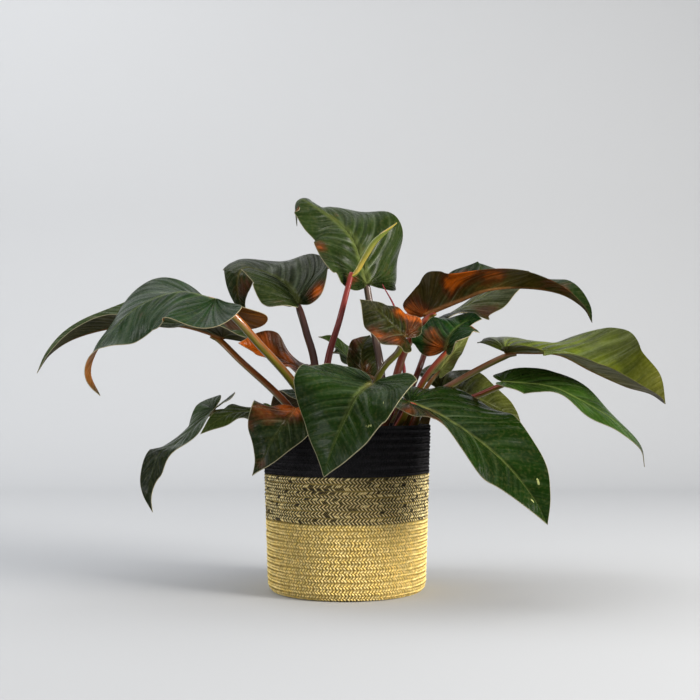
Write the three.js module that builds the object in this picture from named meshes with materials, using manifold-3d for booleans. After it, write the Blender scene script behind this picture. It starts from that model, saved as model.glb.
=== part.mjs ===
// Potted imperial red philodendron: leaf blades on red stalks, grown from the soil of a plastic
// nursery pot, which stands in a coiled rope basket with a natural, a mottled and a black band.
// Millimetres, +Z up, the basket's foot on Z = 0, the photograph's view from -Y, its right at +X.
import * as THREE from 'three';
import Module from 'manifold-3d';

const wasm = await Module();
wasm.setup();

// Basket
const FOOT_RADIUS = 100;
const RIM_RADIUS = 107;
const BASKET_HEIGHT = 208;
const WALL = 8;
const BASE_THICK = 6;
const BANDS = [
  { name: 'basket_natural', color: 0xc9a565, from: 0, to: 91, rows: 12 },
  { name: 'basket_mottled', color: 0x8a744c, from: 91, to: 147, rows: 7 },
  { name: 'basket_black', color: 0x1d1d20, from: 147, to: 208, rows: 7 },
];
const ROW_RELIEF = 1.4;
const BASKET_SIDES = 25;

// Nursery pot and soil
const POT = { foot: 76, top: 90, lip: 94, lipHeight: 9, height: 180, wall: 1.8, floor: 3 };
const SOIL_TOP = 176;
const SOIL_CROWN = 2.5;
const ROUND_SIDES = 24;

// Gap kept between neighbours
const GAP = 0.3;

// Leaf blades
const BLADE_THICK = 0.9;
const MARGIN_WAVE = 4;
const MARGIN_WAVES = 2.5;
const VEIN_LAG = 0.16;
const LOBE_REACH = 0.22;
// Half a blade's outline, as (half widths, lengths), from the notch at the stalk round the lobe to the tip
const OUTLINE = [
  [0.04, -0.03], [0.22, -0.12], [0.52, -0.17], [0.82, -0.08], [1, 0.11],
  [0.95, 0.32], [0.74, 0.54], [0.45, 0.74], [0.16, 0.9], [0, 1],
];

// Stalks
const ROOT_DEPTH = 10;
const SOIL_HOLE = 0.45;
const STALK_SIDES = 6;

// Every leaf, placed as it stands in the photograph, and two more behind the crown. root is where the
// stalk leaves the soil, bend the points that it passes, thick its radius at the soil and at the blade.
// rib is the midrib from stalk to tip, up the side that faces the light at the stalk, half the half
// width, wide its factor left and right, lift the lobes' rise in degrees, roll the twist about the
// midrib. fold is each half's rise from the flat and curl its turn towards the margin, both left and
// right, at even steps from base to tip, in degrees.
const LEAVES = [
  { name: 'far_left', root: [-47, 3], bend: [[-78, 26, 233], [-142, 50, 292]], thick: [5.2, 4.2],
    rib: [[-167, 61, 322], [-214, 52, 336], [-260, 42, 339], [-309, 38, 334], [-357, 33, 320],
      [-387, 26, 299], [-404, 25, 274]],
    up: [0, -0.1, 1], half: 51, wide: [1.04, 1.03], lift: [0, 0], roll: [-3, -8, -8],
    fold: [[30, 22, 43, 8], [34, 48, 39, 27]], curl: [[-20, -25, -6, -22], [-15, -8, -9, -18]] },
  { name: 'left', root: [-17, 41], bend: [[-66, -4, 258], [-109, -57, 309],
      [-134, -80, 338]], thick: [6, 4.8],
    rib: [[-157, -87, 362], [-202, -79, 371], [-248, -75, 356], [-281, -81, 326], [-300, -88, 299],
      [-306, -95, 271], [-295, -91, 244]],
    up: [0, -0.3, 1], half: 77, wide: [1.14, 1.25], lift: [54, 41], roll: [2, -16, 22],
    fold: [[-20, -6, 1, 43], [-47, -15, -2, 8]], curl: [[10, 9, -33, -11], [12, 9, -22, -20]] },
  { name: 'upper_left', root: [-39, -20], bend: [[-40, -11, 277], [-52, 0, 326]], thick: [5.5, 4.6],
    rib: [[-62, 5, 363], [-76, 26, 386], [-95, 39, 401], [-119, 52, 412], [-136, 52, 415],
      [-144, 49, 405], [-146, 56, 387], [-143, 62, 369], [-134, 65, 349]],
    up: [0.2, -1, 0.5], half: 60, wide: [1.01, 1.13], lift: [56, 23], roll: [0, 18, 5],
    fold: [[39, 27, 12, 9], [50, 16, 0, -8]], curl: [[-42, -15, -18, -19], [4, -7, -25, -22]] },
  { name: 'top', root: [52, 21], bend: [[44, 17, 278], [37, 26, 321]], thick: [5.6, 4.6],
    rib: [[26, 19, 390], [21, 21, 411], [8, 19, 448], [-13, 24, 472], [-34, 20, 487], [-51, 20, 498],
      [-61, 22, 502], [-68, 26, 494], [-66, 32, 468]],
    up: [0, -1, 0.35], half: 65, wide: [1.01, 1.26], lift: [14, 1], roll: [22, 17, 21], lobe: 0.35,
    fold: [[33, 21, 11, 14], [9, 10, -43, -19]], curl: [[-6, -9, -19, -18], [-72, -29, -45, -36]] },
  { name: 'upper_right', root: [42, -7], bend: [[72, 10, 296]], thick: [5.6, 4.8],
    rib: [[102, 22, 349], [145, 2, 366], [181, -12, 379], [230, 0, 383], [271, -16, 374],
      [299, -19, 356], [311, -17, 337]],
    up: [0, 0.1, 1], half: 58, wide: [1.25, 0.91], lift: [4, 36], roll: [-17, 1, 33],
    fold: [[49, 59, 44, 76], [96, 27, 30, 29]], curl: [[5, 6, -29, -12], [-12, -40, -17, -24]] },
  { name: 'back_right', root: [53, 3], bend: [[93, 31, 276], [107, 49, 312]], thick: [4.6, 3.6],
    rib: [[122, 64, 348], [159, 92, 366], [189, 96, 383], [223, 95, 398], [265, 98, 401], [295, 98, 390]],
    up: [0, 0.7, 0.7], half: 50, wide: [1, 1.13], lift: [0, -6], roll: [11, 30, -2],
    fold: [[11, 18, 11, 9], [-20, -23, -14, 2]], curl: [[-17, -13, -17, -19], [-26, -34, -34, -26]] },
  { name: 'centre', root: [13, 27], bend: [[39, -19, 267], [64, -36, 299]], thick: [5, 4],
    rib: [[73, -45, 317], [58, -49, 331], [39, -54, 349], [16, -46, 364]],
    up: [0, -0.7, 0.7], half: 40, wide: [1.14, 0.97], lift: [0, -3], roll: [5, 1, 0],
    fold: [[24, 15, -12, 0], [20, 0, -7, -2]], curl: [[-4, -10, -26, -22], [-18, -26, -26, -24]] },
  { name: 'inner_right', root: [65, -4], bend: [[94, -20, 258]], thick: [4.8, 4],
    rib: [[125, -26, 303], [129, -22, 317], [139, -15, 330], [154, -4, 340], [172, -13, 342]],
    up: [-0.4, -0.7, 0.5], half: 40, wide: [1.13, 1.01], lift: [0, 1], roll: [-10, 1, 1],
    fold: [[24, 17, 4, 10], [34, 19, 0, 7]], curl: [[-4, -11, -20, -20], [-2, -10, -22, -20]] },
  { name: 'right', root: [76, -3], bend: [[99, -20, 237], [126, -29, 255],
      [166, -33, 278]], thick: [4.8, 3.8],
    rib: [[198, -42, 298], [229, -36, 298], [266, -39, 295], [305, -39, 275], [344, -48, 256],
      [376, -43, 247], [401, -22, 234]],
    up: [0, -0.2, 1], half: 79, wide: [1.37, 1.01], lift: [0, 0], roll: [-2, 6, 27], lobe: 0.45,
    fold: [[18, 18, 64, 63], [20, 21, 36, 18]], curl: [[-26, -24, -13, -1], [-20, -20, -12, -18]] },
  { name: 'lower_right', root: [58, -14], bend: [[93, -42, 242], [124, -44, 238],
      [155, -41, 242]], thick: [4.4, 3.4],
    rib: [[191, -63, 261], [218, -64, 259], [241, -72, 256], [264, -78, 248], [310, -86, 222],
      [335, -89, 201], [352, -89, 181], [357, -85, 159]],
    up: [0, -0.4, 0.9], half: 40, wide: [0.94, 1.07], lift: [0, 0], roll: [-3, -2, -6], lobe: 0.3,
    fold: [[6, 19, -2, -4], [15, 19, 5, 10]], curl: [[-15, -8, -20, -23], [-17, -14, -20, -19]] },
  { name: 'low_back_right', root: [62, 13], bend: [[102, 29, 239]], thick: [4.4, 3.6],
    rib: [[122, 32, 252], [156, 52, 248], [196, 78, 232], [220, 82, 218], [237, 79, 199]],
    up: [0, -0.6, 0.8], half: 50, wide: [1.18, 1], lift: [8, 0], roll: [0, 11, 4],
    fold: [[21, 16, 24, 22], [8, 8, 8, 8]], curl: [[-42, -29, -11, -16], [-20, -20, -20, -20]] },
  { name: 'front_right', root: [49, -23], bend: [[70, -69, 220]], thick: [4.6, 4],
    rib: [[75, -99, 236], [110, -111, 221], [154, -136, 191], [187, -145, 161], [213, -157, 126],
      [229, -148, 97]],
    up: [0.3, -0.8, 0.5], half: 68, wide: [1.21, 1.03], lift: [-2, 0], roll: [-20, -12, 9],
    fold: [[3, 11, 17, 33], [24, 32, 13, 24]], curl: [[-26, -22, -24, -15], [-10, -4, -19, -16]] },
  { name: 'front', root: [0, 29], bend: [[31, -69, 233]], thick: [5.2, 4.4],
    rib: [[30, -117, 259], [13, -139, 245], [2, -143, 225], [-10, -147, 199], [-19, -148, 176],
      [-26, -141, 150]],
    up: [0, -0.9, 0.45], half: 70, wide: [0.99, 1.13], lift: [0, -15], roll: [14, 12, 16],
    fold: [[28, 29, 23, 15], [-4, 14, -8, -12]], curl: [[-7, -3, -13, -16], [-4, -6, -18, -22]] },
  { name: 'front_left', root: [-23, -12], bend: [[-50, -74, 220]], thick: [4.4, 3.8],
    rib: [[-61, -91, 230], [-69, -106, 218], [-87, -117, 192], [-99, -114, 169], [-111, -109, 150]],
    up: [0, -0.9, 0.45], half: 41, wide: [0.8, 1.12], lift: [-3, -4], roll: [-2, -10, 21], lobe: 0.3,
    fold: [[12, 14, 13, 11], [-24, 14, -15, -22]], curl: [[-16, -14, -18, -18], [-23, -9, -17, -26]] },
  { name: 'low_left', root: [-54, -8], bend: [[-72, -15, 216], [-122, -17, 225]], thick: [4.2, 3.2],
    rib: [[-168, -16, 227], [-187, -32, 209], [-211, -48, 185], [-228, -61, 174], [-238, -59, 148],
      [-241, -63, 124], [-237, -57, 102]],
    up: [0, -0.2, 1], half: 38, wide: [0.99, 1.04], lift: [0, -1], roll: [9, 3, -5],
    fold: [[23, 20, 6, 14], [11, -8, 16, 19]], curl: [[-7, -9, -22, -18], [-16, -30, -19, -19]] },
  { name: 'low_left_inner', root: [-51, -19], bend: [[-70, -54, 215]], thick: [4, 3],
    rib: [[-99, -61, 222], [-118, -66, 225], [-139, -78, 223], [-158, -85, 213], [-176, -82, 198]],
    up: [0, -0.4, 0.9], half: 27, wide: [1.02, 1.01], lift: [0, 0], roll: [0, 4, -9],
    fold: [[9, 12, 1, 0], [10, 4, 9, 14]], curl: [[-19, -17, -20, -22], [-19, -23, -22, -20]] },
  { name: 'mid_left', root: [-27, 3], bend: [[-40, 17, 250]], thick: [4.2, 3],
    rib: [[-57, 27, 277], [-77, 30, 289], [-100, 26, 300], [-121, 25, 308], [-141, 15, 313]],
    up: [0, -0.6, 0.8], half: 40, wide: [0.99, 1.2], lift: [0, 0], roll: [14, 3, -6],
    fold: [[22, 25, 26, 10], [2, -2, 38, 16]], curl: [[-8, -7, -9, -15], [-28, -31, -6, -14]] },
  { name: 'young_right', root: [70, 6], bend: [[99, 5, 249]], thick: [3.4, 2.6],
    rib: [[121, 5, 279], [136, 9, 298], [150, 14, 314], [161, 17, 327]],
    up: [0, -0.9, 0.3], half: 11, wide: [0.94, 1.04], lift: [0, 0], roll: [-2, -3, 0],
    fold: [[0, 0, 6, 7], [7, 7, 7, 8]], curl: [[-28, -27, -23, -21], [-20, -20, -20, -20]] },
  { name: 'back_left', root: [9, 42], bend: [[20, 57, 259]], thick: [4, 2.8],
    rib: [[9, 64, 287], [-3, 85, 302], [-21, 90, 318], [-39, 81, 325]],
    up: [0, 0.6, 0.8], half: 26, wide: [1.01, 1.05], lift: [0, 0], roll: [-4, -14, -6],
    fold: [[0, 6, 7, 8], [11, 20, 29, 20]], curl: [[-26, -22, -21, -20], [-17, -12, -10, -15]] },
  { name: 'back_arch', root: [25, 35], bend: [[38, 48, 255]], thick: [4.4, 3.4],
    rib: [[23, 50, 274], [20, 50, 292], [21, 53, 310], [31, 76, 327]],
    up: [0, -0.9, -0.2], half: 25, wide: [0.94, 1.09], lift: [0, 0], roll: [23, 6, -3],
    fold: [[24, 23, 18, 11], [-5, -2, 24, 14]], curl: [[-8, -9, -14, -17], [-35, -32, -14, -18]] },
  { name: 'rear_left', root: [-3, 50], bend: [[-20, 63, 251]], thick: [5.2, 4.4],
    rib: [[-30, 79, 245], [-48, 114, 250], [-62, 154, 225], [-68, 179, 175], [-70, 184, 120]],
    up: [0, 0, 1], half: 56, wide: [1, 1], lift: [0, 0], roll: [0, 0, 0],
    fold: [[8, 8, 8, 8], [8, 8, 8, 8]], curl: [[-20, -20, -20, -20], [-20, -20, -20, -20]] },
  { name: 'rear_right', root: [18, 51], bend: [[36, 76, 245]], thick: [5.2, 4.4],
    rib: [[45, 99, 235], [62, 134, 240], [72, 169, 215], [76, 189, 165], [76, 194, 105]],
    up: [0, 0, 1], half: 56, wide: [1, 1], lift: [0, 0], roll: [0, 0, 0],
    fold: [[8, 8, 8, 8], [8, 8, 8, 8]], curl: [[-20, -20, -20, -20], [-20, -20, -20, -20]] },
];

// The rolled new leaf and the dry sheath beside it
const NEW_LEAF = {
  stalk: { name: 'new_leaf', root: [-35, -6], bend: [[-25, -9, 284], [-9, -29, 340]], thick: [5.5, 3.6] },
  rib: [[5, -28, 395], [12, -29, 400], [23, -30, 419], [37, -31, 440], [63, -32, 462]],
  widths: [3.4, 4.6, 5.4, 3.6, 0.8],
};
const SHEATH = {
  root: [38, 8], path: [[72, 13, 259], [70, 21, 304], [64, 15, 353], [46, 20, 390]],
  widths: [3.6, 3.2, 2.4, 1.7, 0.7],
};

const vec = (p) => new THREE.Vector3(p[0], p[1], p[2]);
const clamp01 = (t) => Math.min(Math.max(t, 0), 1);
const radians = (degrees) => (degrees * Math.PI) / 180;
const chordOf = (turn) => (Math.abs(turn) < 1e-6 ? 1 : Math.sin(turn / 2) / (turn / 2));

function smoothCurve(points) {
  const curve = new THREE.CatmullRomCurve3(points, false, 'catmullrom', 0.5);
  curve.arcLengthDivisions = 400;
  return curve;
}

// A smooth value between numbers that stand at even steps from 0 to 1
function along(values, t) {
  const last = values.length - 1;
  const s = clamp01(t) * last;
  const i = Math.min(Math.floor(s), last - 1);
  const w = s - i;
  const before = i > 0 ? values[i - 1] : 2 * values[0] - values[1];
  const after = i + 2 <= last ? values[i + 2] : 2 * values[last] - values[last - 1];
  const m0 = (values[i + 1] - before) / 2;
  const m1 = (after - values[i]) / 2;
  return (2 * w ** 3 - 3 * w ** 2 + 1) * values[i] + (w ** 3 - 2 * w ** 2 + w) * m0
    + (3 * w ** 2 - 2 * w ** 3) * values[i + 1] + (w ** 3 - w ** 2) * m1;
}

// Tangents of a line of points, and normals carried along it without twist
function frames(line, up) {
  const tangents = line.map((p, i) => {
    const ahead = line[Math.min(i + 1, line.length - 1)];
    const behind = line[Math.max(i - 1, 0)];
    return ahead.clone().sub(behind).normalize();
  });
  const normals = [];
  let normal = up.clone();
  for (const t of tangents) {
    normal = normal.clone().addScaledVector(t, -normal.dot(t)).normalize();
    normals.push(normal);
  }
  return { tangents, normals };
}

// Points welded to single corners, with the faces that lose their area dropped
function welded(corners, faces) {
  const seen = new Map();
  const points = [];
  const index = corners.map((p) => {
    const key = [p.x, p.y, p.z].map((c) => Math.round(c * 1000)).join();
    if (!seen.has(key)) {
      seen.set(key, points.length);
      points.push(p);
    }
    return seen.get(key);
  });
  const kept = faces.map((f) => f.map((i) => index[i]))
    .filter(([a, b, c]) => a !== b && b !== c && c !== a);
  return { points, faces: kept };
}

// A closed shell, turned outward
function closedBody(corners, faces) {
  const shell = welded(corners, faces);
  const { points } = shell;
  let volume = 0;
  for (const [a, b, c] of shell.faces) {
    volume += points[a].dot(points[b].clone().cross(points[c]));
  }
  return { points, faces: volume < 0 ? shell.faces.map(([a, b, c]) => [a, c, b]) : shell.faces };
}

function bodyOfGeometry(geometry) {
  const position = geometry.getAttribute('position');
  const corners = [];
  for (let i = 0; i < position.count; i += 1) {
    corners.push(new THREE.Vector3().fromBufferAttribute(position, i));
  }
  const order = Array.from(geometry.index.array);
  const faces = [];
  for (let i = 0; i < order.length; i += 3) {
    faces.push(order.slice(i, i + 3));
  }
  return closedBody(corners, faces);
}

function toSolid(body) {
  return new wasm.Manifold(new wasm.Mesh({
    numProp: 3,
    vertProperties: new Float32Array(body.points.flatMap((p) => [p.x, p.y, p.z])),
    triVerts: new Uint32Array(body.faces.flat()),
  }));
}

// The largest connected piece of a solid, so that no scrap of a cut is kept
function largestPiece(solid) {
  const mesh = solid.getMesh();
  const points = [];
  for (let i = 0; i < mesh.vertProperties.length; i += mesh.numProp) {
    points.push(vec(mesh.vertProperties.slice(i, i + 3)));
  }
  const faces = [];
  for (let i = 0; i < mesh.triVerts.length; i += 3) {
    faces.push(Array.from(mesh.triVerts.slice(i, i + 3)));
  }
  const shell = closedBody(points, faces);
  const owner = shell.points.map((p, i) => i);
  const find = (i) => {
    let root = i;
    while (owner[root] !== root) {
      root = owner[root];
    }
    owner[i] = root;
    return root;
  };
  for (const [a, b, c] of shell.faces) {
    owner[find(b)] = find(a);
    owner[find(c)] = find(a);
  }
  const count = new Map();
  for (const [a] of shell.faces) {
    count.set(find(a), (count.get(find(a)) ?? 0) + 1);
  }
  const best = [...count].sort((p, q) => q[1] - p[1])[0][0];
  return { points: shell.points, faces: shell.faces.filter(([a]) => find(a) === best) };
}

function addMesh(group, name, body, color) {
  const geometry = new THREE.BufferGeometry();
  const corners = body.faces.flatMap((f) => f.flatMap((i) => body.points[i].toArray()));
  geometry.setAttribute('position', new THREE.Float32BufferAttribute(corners, 3));
  geometry.computeVertexNormals();
  const material = new THREE.MeshStandardMaterial({ color, roughness: 0.6 });
  const mesh = new THREE.Mesh(geometry, material);
  mesh.name = name;
  group.add(mesh);
}

// One half of a blade as rows of points from the midrib to the margin: half 0 is the left one, seen
// from above with the tip ahead. Cross-sections rise by fold and turn by curl, and the lobes arc back.
function bladeHalf(leaf, half, rows, columns) {
  const curve = smoothCurve(leaf.rib.map(vec));
  const line = curve.getSpacedPoints(119);
  const length = curve.getLength();
  const { tangents, normals } = frames(line, vec(leaf.up));
  const edge = smoothCurve(OUTLINE.map(([x, y]) => new THREE.Vector3(x / 2, y, 0))).getSpacedPoints(rows);
  const sign = half === 0 ? -1 : 1;
  const perLength = radians(leaf.lift[half]) / (LOBE_REACH * length);
  return edge.map((e) => {
    const edgeX = e.x * 2;
    const edgeY = e.y < 0 ? e.y * (leaf.lobe ?? 1) : e.y;
    const foot = edgeY > 0.999 ? 1 : clamp01(edgeY - VEIN_LAG * edgeX);
    const row = [];
    for (let j = 0; j <= columns; j += 1) {
      const v = j / columns;
      const y = foot + v ** 1.15 * (edgeY - foot);
      const s = clamp01(y) * (line.length - 1);
      const i = Math.min(Math.floor(s), line.length - 2);
      const t = tangents[i].clone().lerp(tangents[i + 1], s - i).normalize();
      const flat = normals[i].clone().lerp(normals[i + 1], s - i).normalize();
      const turn = radians(along(leaf.roll, y));
      const n = flat.clone().multiplyScalar(Math.cos(turn))
        .addScaledVector(t.clone().cross(flat), Math.sin(turn)).normalize();
      const side = t.clone().cross(n).normalize();
      const back = Math.max(0, -y) * length;
      const arc = perLength * back;
      const point = line[i].clone().lerp(line[i + 1], s - i)
        .addScaledVector(t, -back * chordOf(arc) * Math.cos(arc / 2))
        .addScaledVector(n, back * chordOf(arc) * Math.sin(arc / 2));
      const lifted = n.clone().multiplyScalar(Math.cos(arc)).addScaledVector(t, Math.sin(arc));
      const out = v * edgeX * leaf.half * leaf.wide[half];
      const bend = radians(along(leaf.curl[half], y)) * (out / leaf.half);
      const rise = radians(along(leaf.fold[half], y)) + bend / 2;
      const wave = MARGIN_WAVE * (out / leaf.half) ** 2
        * Math.sin(2 * Math.PI * (MARGIN_WAVES * y + 0.35 * half));
      point.addScaledVector(side, sign * out * chordOf(bend) * Math.cos(rise));
      point.addScaledVector(lifted, out * chordOf(bend) * Math.sin(rise) + wave);
      row.push(point);
    }
    return row;
  });
}

// A sheet of both halves, welded along the midrib
function bladeSheet(leaf, rows, columns) {
  const corners = [];
  const faces = [];
  for (const half of [0, 1]) {
    const grid = bladeHalf(leaf, half, rows, columns);
    const start = corners.length;
    corners.push(...grid.flat());
    const at = (i, j) => start + i * (columns + 1) + j;
    for (let i = 0; i < rows; i += 1) {
      for (let j = 0; j < columns; j += 1) {
        const [a, b, c, d] = [at(i, j), at(i + 1, j), at(i + 1, j + 1), at(i, j + 1)];
        faces.push(...(half === 0 ? [[a, b, c], [a, c, d]] : [[a, c, b], [a, d, c]]));
      }
    }
  }
  return welded(corners, faces);
}

// A blade given a thickness and closed round its margin, which moves outward by grow
function bladeBody(sheet, thickness, grow) {
  const { points, faces } = sheet;
  const normals = points.map(() => new THREE.Vector3());
  for (const [a, b, c] of faces) {
    const n = points[b].clone().sub(points[a]).cross(points[c].clone().sub(points[a]));
    [a, b, c].forEach((i) => normals[i].add(n));
  }
  normals.forEach((n) => n.normalize());
  const edges = faces.flatMap(([a, b, c]) => [[a, b], [b, c], [c, a]]);
  const known = new Set(edges.map((e) => e.join()));
  const rim = edges.filter(([a, b]) => !known.has(`${b},${a}`));
  const outward = points.map(() => new THREE.Vector3());
  for (const [a, b] of rim) {
    const away = points[b].clone().sub(points[a]).cross(normals[a]).normalize();
    outward[a].add(away);
    outward[b].add(away);
  }
  outward.forEach((away) => away.setLength(away.length() > 0 ? grow : 0));
  const shell = [1, -1].flatMap((way) => points.map(
    (p, i) => p.clone().add(outward[i]).addScaledVector(normals[i], (way * thickness) / 2)));
  const count = points.length;
  const skin = faces.flatMap(([a, b, c]) => [[a, b, c], [a + count, c + count, b + count]]);
  const side = rim.flatMap(([a, b]) => [[b, a, a + count], [b, a + count, b + count]]);
  return closedBody(shell, [...skin, ...side]);
}

// A round stem along points, with its radius given at even steps
function stemBody(points, radii, steps, sides) {
  const line = smoothCurve(points).getSpacedPoints(steps);
  const { tangents, normals } = frames(line, new THREE.Vector3(0.2, -1, 0));
  const corners = [];
  const faces = [];
  line.forEach((p, i) => {
    const n = normals[i];
    const side = tangents[i].clone().cross(n);
    const radius = along(radii, i / steps);
    for (let k = 0; k < sides; k += 1) {
      const a = (2 * Math.PI * k) / sides;
      corners.push(p.clone().addScaledVector(n, radius * Math.cos(a))
        .addScaledVector(side, radius * Math.sin(a)));
    }
  });
  for (let i = 0; i < steps; i += 1) {
    for (let k = 0; k < sides; k += 1) {
      const [a, b] = [i * sides + k, i * sides + ((k + 1) % sides)];
      faces.push([a, b, b + sides], [a, b + sides, a + sides]);
    }
  }
  for (let k = 1; k < sides - 1; k += 1) {
    faces.push([0, k + 1, k], [steps * sides, steps * sides + k, steps * sides + k + 1]);
  }
  return closedBody(corners, faces);
}

// The points of a stalk: upright out of the soil, through its bends, to just under the blade
function stalkPoints(stalk, end, rootHeight) {
  const [x, y] = stalk.root;
  const start = [new THREE.Vector3(x, y, rootHeight), new THREE.Vector3(x, y, SOIL_TOP + 4)];
  return [...start, ...stalk.bend.map(vec), end];
}

function turned(profile, sides) {
  const points = profile.map(([r, z]) => new THREE.Vector2(r, z));
  const geometry = new THREE.LatheGeometry(points, sides);
  geometry.rotateX(Math.PI / 2);
  return bodyOfGeometry(geometry);
}

// A band of the basket, with a ridge for each row of rope; the lowest band has the floor
function bandBody(band) {
  const outer = (z) => FOOT_RADIUS + (RIM_RADIUS - FOOT_RADIUS) * (z / BASKET_HEIGHT);
  const bottom = band.from + (band.from > 0 ? GAP / 2 : 0);
  const top = band.to - (band.to < BASKET_HEIGHT ? GAP / 2 : 0);
  const rowHeight = (band.to - band.from) / band.rows;
  const profile = [];
  for (let row = 0; row < band.rows; row += 1) {
    const z = band.from + row * rowHeight;
    const corner = band.from === 0 && row === 0;
    profile.push(corner ? [outer(0) - 8, 0] : [outer(z) - ROW_RELIEF, Math.max(z, bottom)]);
    profile.push([outer(z) - (corner ? 2 : 0), z + rowHeight / 2]);
  }
  profile.push([outer(top) - ROW_RELIEF, top]);
  profile.push([outer(top) - WALL, top]);
  if (band.from > 0) {
    profile.push([outer(bottom) - WALL, bottom], profile[0]);
  } else {
    profile.push([outer(BASE_THICK) - WALL, BASE_THICK], [0, BASE_THICK]);
    profile.unshift([0, 0]);
  }
  return turned(profile, BASKET_SIDES);
}

function nurseryPotBody() {
  const z0 = BASE_THICK + GAP;
  const z1 = z0 + POT.height;
  return turned([
    [0, z0], [POT.foot, z0], [POT.top, z1 - POT.lipHeight], [POT.lip, z1 - POT.lipHeight], [POT.lip, z1],
    [POT.top - POT.wall, z1], [POT.foot - POT.wall, z0 + POT.floor], [0, z0 + POT.floor],
  ], ROUND_SIDES);
}

function soilBody(holes) {
  const z0 = BASE_THICK + GAP + POT.floor;
  const slope = (POT.top - POT.foot) / (POT.height - POT.floor);
  const inner = (z) => POT.foot - POT.wall + slope * (z - z0) - 2 * GAP;
  const whole = turned([
    [0, z0 + GAP], [inner(z0 + GAP), z0 + GAP], [inner(SOIL_TOP - SOIL_CROWN), SOIL_TOP - SOIL_CROWN],
    [60, SOIL_TOP], [0, SOIL_TOP + 1],
  ], ROUND_SIDES);
  return largestPiece(holes.reduce((soil, hole) => soil.subtract(toSolid(hole)), toSolid(whole)));
}

const group = new THREE.Group();
group.name = 'potted_imperial_red_philodendron';

for (const band of BANDS) {
  addMesh(group, band.name, bandBody(band), band.color);
}
addMesh(group, 'nursery_pot', nurseryPotBody(), 0x1c1c1c);

const rootHeight = SOIL_TOP - ROOT_DEPTH;
const holes = [];
function addStalk(name, stalk, end, radii, cutter, color) {
  const steps = 8;
  const body = stemBody(stalkPoints(stalk, end, rootHeight), radii, steps, STALK_SIDES);
  const cut = cutter ? largestPiece(toSolid(body).subtract(toSolid(cutter))) : body;
  holes.push(stemBody(
    stalkPoints(stalk, end, rootHeight - 0.5), radii.map((r) => r + SOIL_HOLE), steps, STALK_SIDES));
  addMesh(group, name, cut, color);
}

for (const leaf of LEAVES) {
  const large = leaf.half > 45;
  const rows = large ? 13 : 8;
  const columns = large ? 4 : 3;
  const sheet = bladeSheet(leaf, rows, columns);
  const cutter = bladeBody(sheet, BLADE_THICK + 2 * GAP, GAP);
  addStalk(`petiole_${leaf.name}`, leaf, vec(leaf.rib[0]), leaf.thick, cutter, 0x7c2c2e);
  addMesh(group, `blade_${leaf.name}`, bladeBody(sheet, BLADE_THICK, 0), 0x2e4a26);
}

const roll = NEW_LEAF.rib.map(vec);
const rollStart = roll[0].clone().sub(roll[1]).setLength(GAP).add(roll[0]);
const rollCutter = stemBody(
  [rollStart, ...roll.slice(1)], NEW_LEAF.widths.map((r) => r + GAP), 10, STALK_SIDES);
addStalk('petiole_new_leaf', NEW_LEAF.stalk, roll[0], NEW_LEAF.stalk.thick, rollCutter, 0x9a3638);
addMesh(group, 'new_leaf', stemBody(roll, NEW_LEAF.widths, 10, STALK_SIDES), 0xa8a83c);
const sheath = { root: SHEATH.root, bend: SHEATH.path.slice(0, -1) };
addStalk('sheath', sheath, vec(SHEATH.path.at(-1)), SHEATH.widths, null, 0x8a3436);
addMesh(group, 'soil', soilBody(holes), 0x2b2018);

export default group;
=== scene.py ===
# %% [markdown]
# # A potted philodendron, dressed in Blender
# The plant is an imperial red philodendron: broad leathery blades on red stalks, in a plastic nursery
# pot that stands inside a coiled rope basket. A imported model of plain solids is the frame, and each
# step below puts a finer piece in the place of one of its solids. All sizes are millimetres until the
# last moment, when a mesh is made and they become Blender's metres.

# %% The frame
from collections import namedtuple
import bpy
import numpy as np
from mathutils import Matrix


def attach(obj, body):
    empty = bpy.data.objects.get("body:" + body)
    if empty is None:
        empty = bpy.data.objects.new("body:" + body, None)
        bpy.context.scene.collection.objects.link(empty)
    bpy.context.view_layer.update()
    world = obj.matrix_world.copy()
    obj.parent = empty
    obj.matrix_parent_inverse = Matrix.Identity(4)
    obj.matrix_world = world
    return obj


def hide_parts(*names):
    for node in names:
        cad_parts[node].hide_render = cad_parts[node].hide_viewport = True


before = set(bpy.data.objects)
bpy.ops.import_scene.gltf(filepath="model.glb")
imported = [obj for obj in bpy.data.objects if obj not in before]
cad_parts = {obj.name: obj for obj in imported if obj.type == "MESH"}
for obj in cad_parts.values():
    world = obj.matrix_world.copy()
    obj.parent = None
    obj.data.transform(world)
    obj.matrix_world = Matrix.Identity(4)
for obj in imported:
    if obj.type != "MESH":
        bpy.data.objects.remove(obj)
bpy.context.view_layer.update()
MM = 0.001

# %% [markdown]
# ## Camera
# The photograph was taken from a little above the pot's middle, from 1.4 m away, looking up by less
# than three degrees. A lens is a ratio: the frame is 700 pixels wide and a pixel at one metre is
# 1/1100 m, so on a 36 mm sensor the lens is 36 x 1100 / 700.

# %% Camera
SENSOR, PIXELS_WIDE, PIXELS_A_METRE, LOOKING_UP = 36, 700, 1100, 2.65
camera_data = bpy.data.cameras.new("camera")
camera_data.sensor_width = SENSOR
camera_data.lens = SENSOR * PIXELS_A_METRE / PIXELS_WIDE
camera = bpy.data.objects.new("camera", camera_data)
camera.location = (0.004, -1.408, 0.238)
camera.rotation_euler = (np.radians(90 + LOOKING_UP), 0, 0)
bpy.context.collection.objects.link(camera)
bpy.context.scene.camera = camera
bpy.context.scene.view_settings.view_transform = "Standard"
print("lens:", round(camera_data.lens, 2), "mm")

# %% [markdown]
# ## Helpers for colours and nodes
# Colours are written as the hex values that a paint programme shows. Blender mixes light in linear
# values, so one function turns hex to linear. Another adds a shader node with its settings and links.
# An input may be named by its number: a range node's are value, from, to, result there and there.

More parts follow.
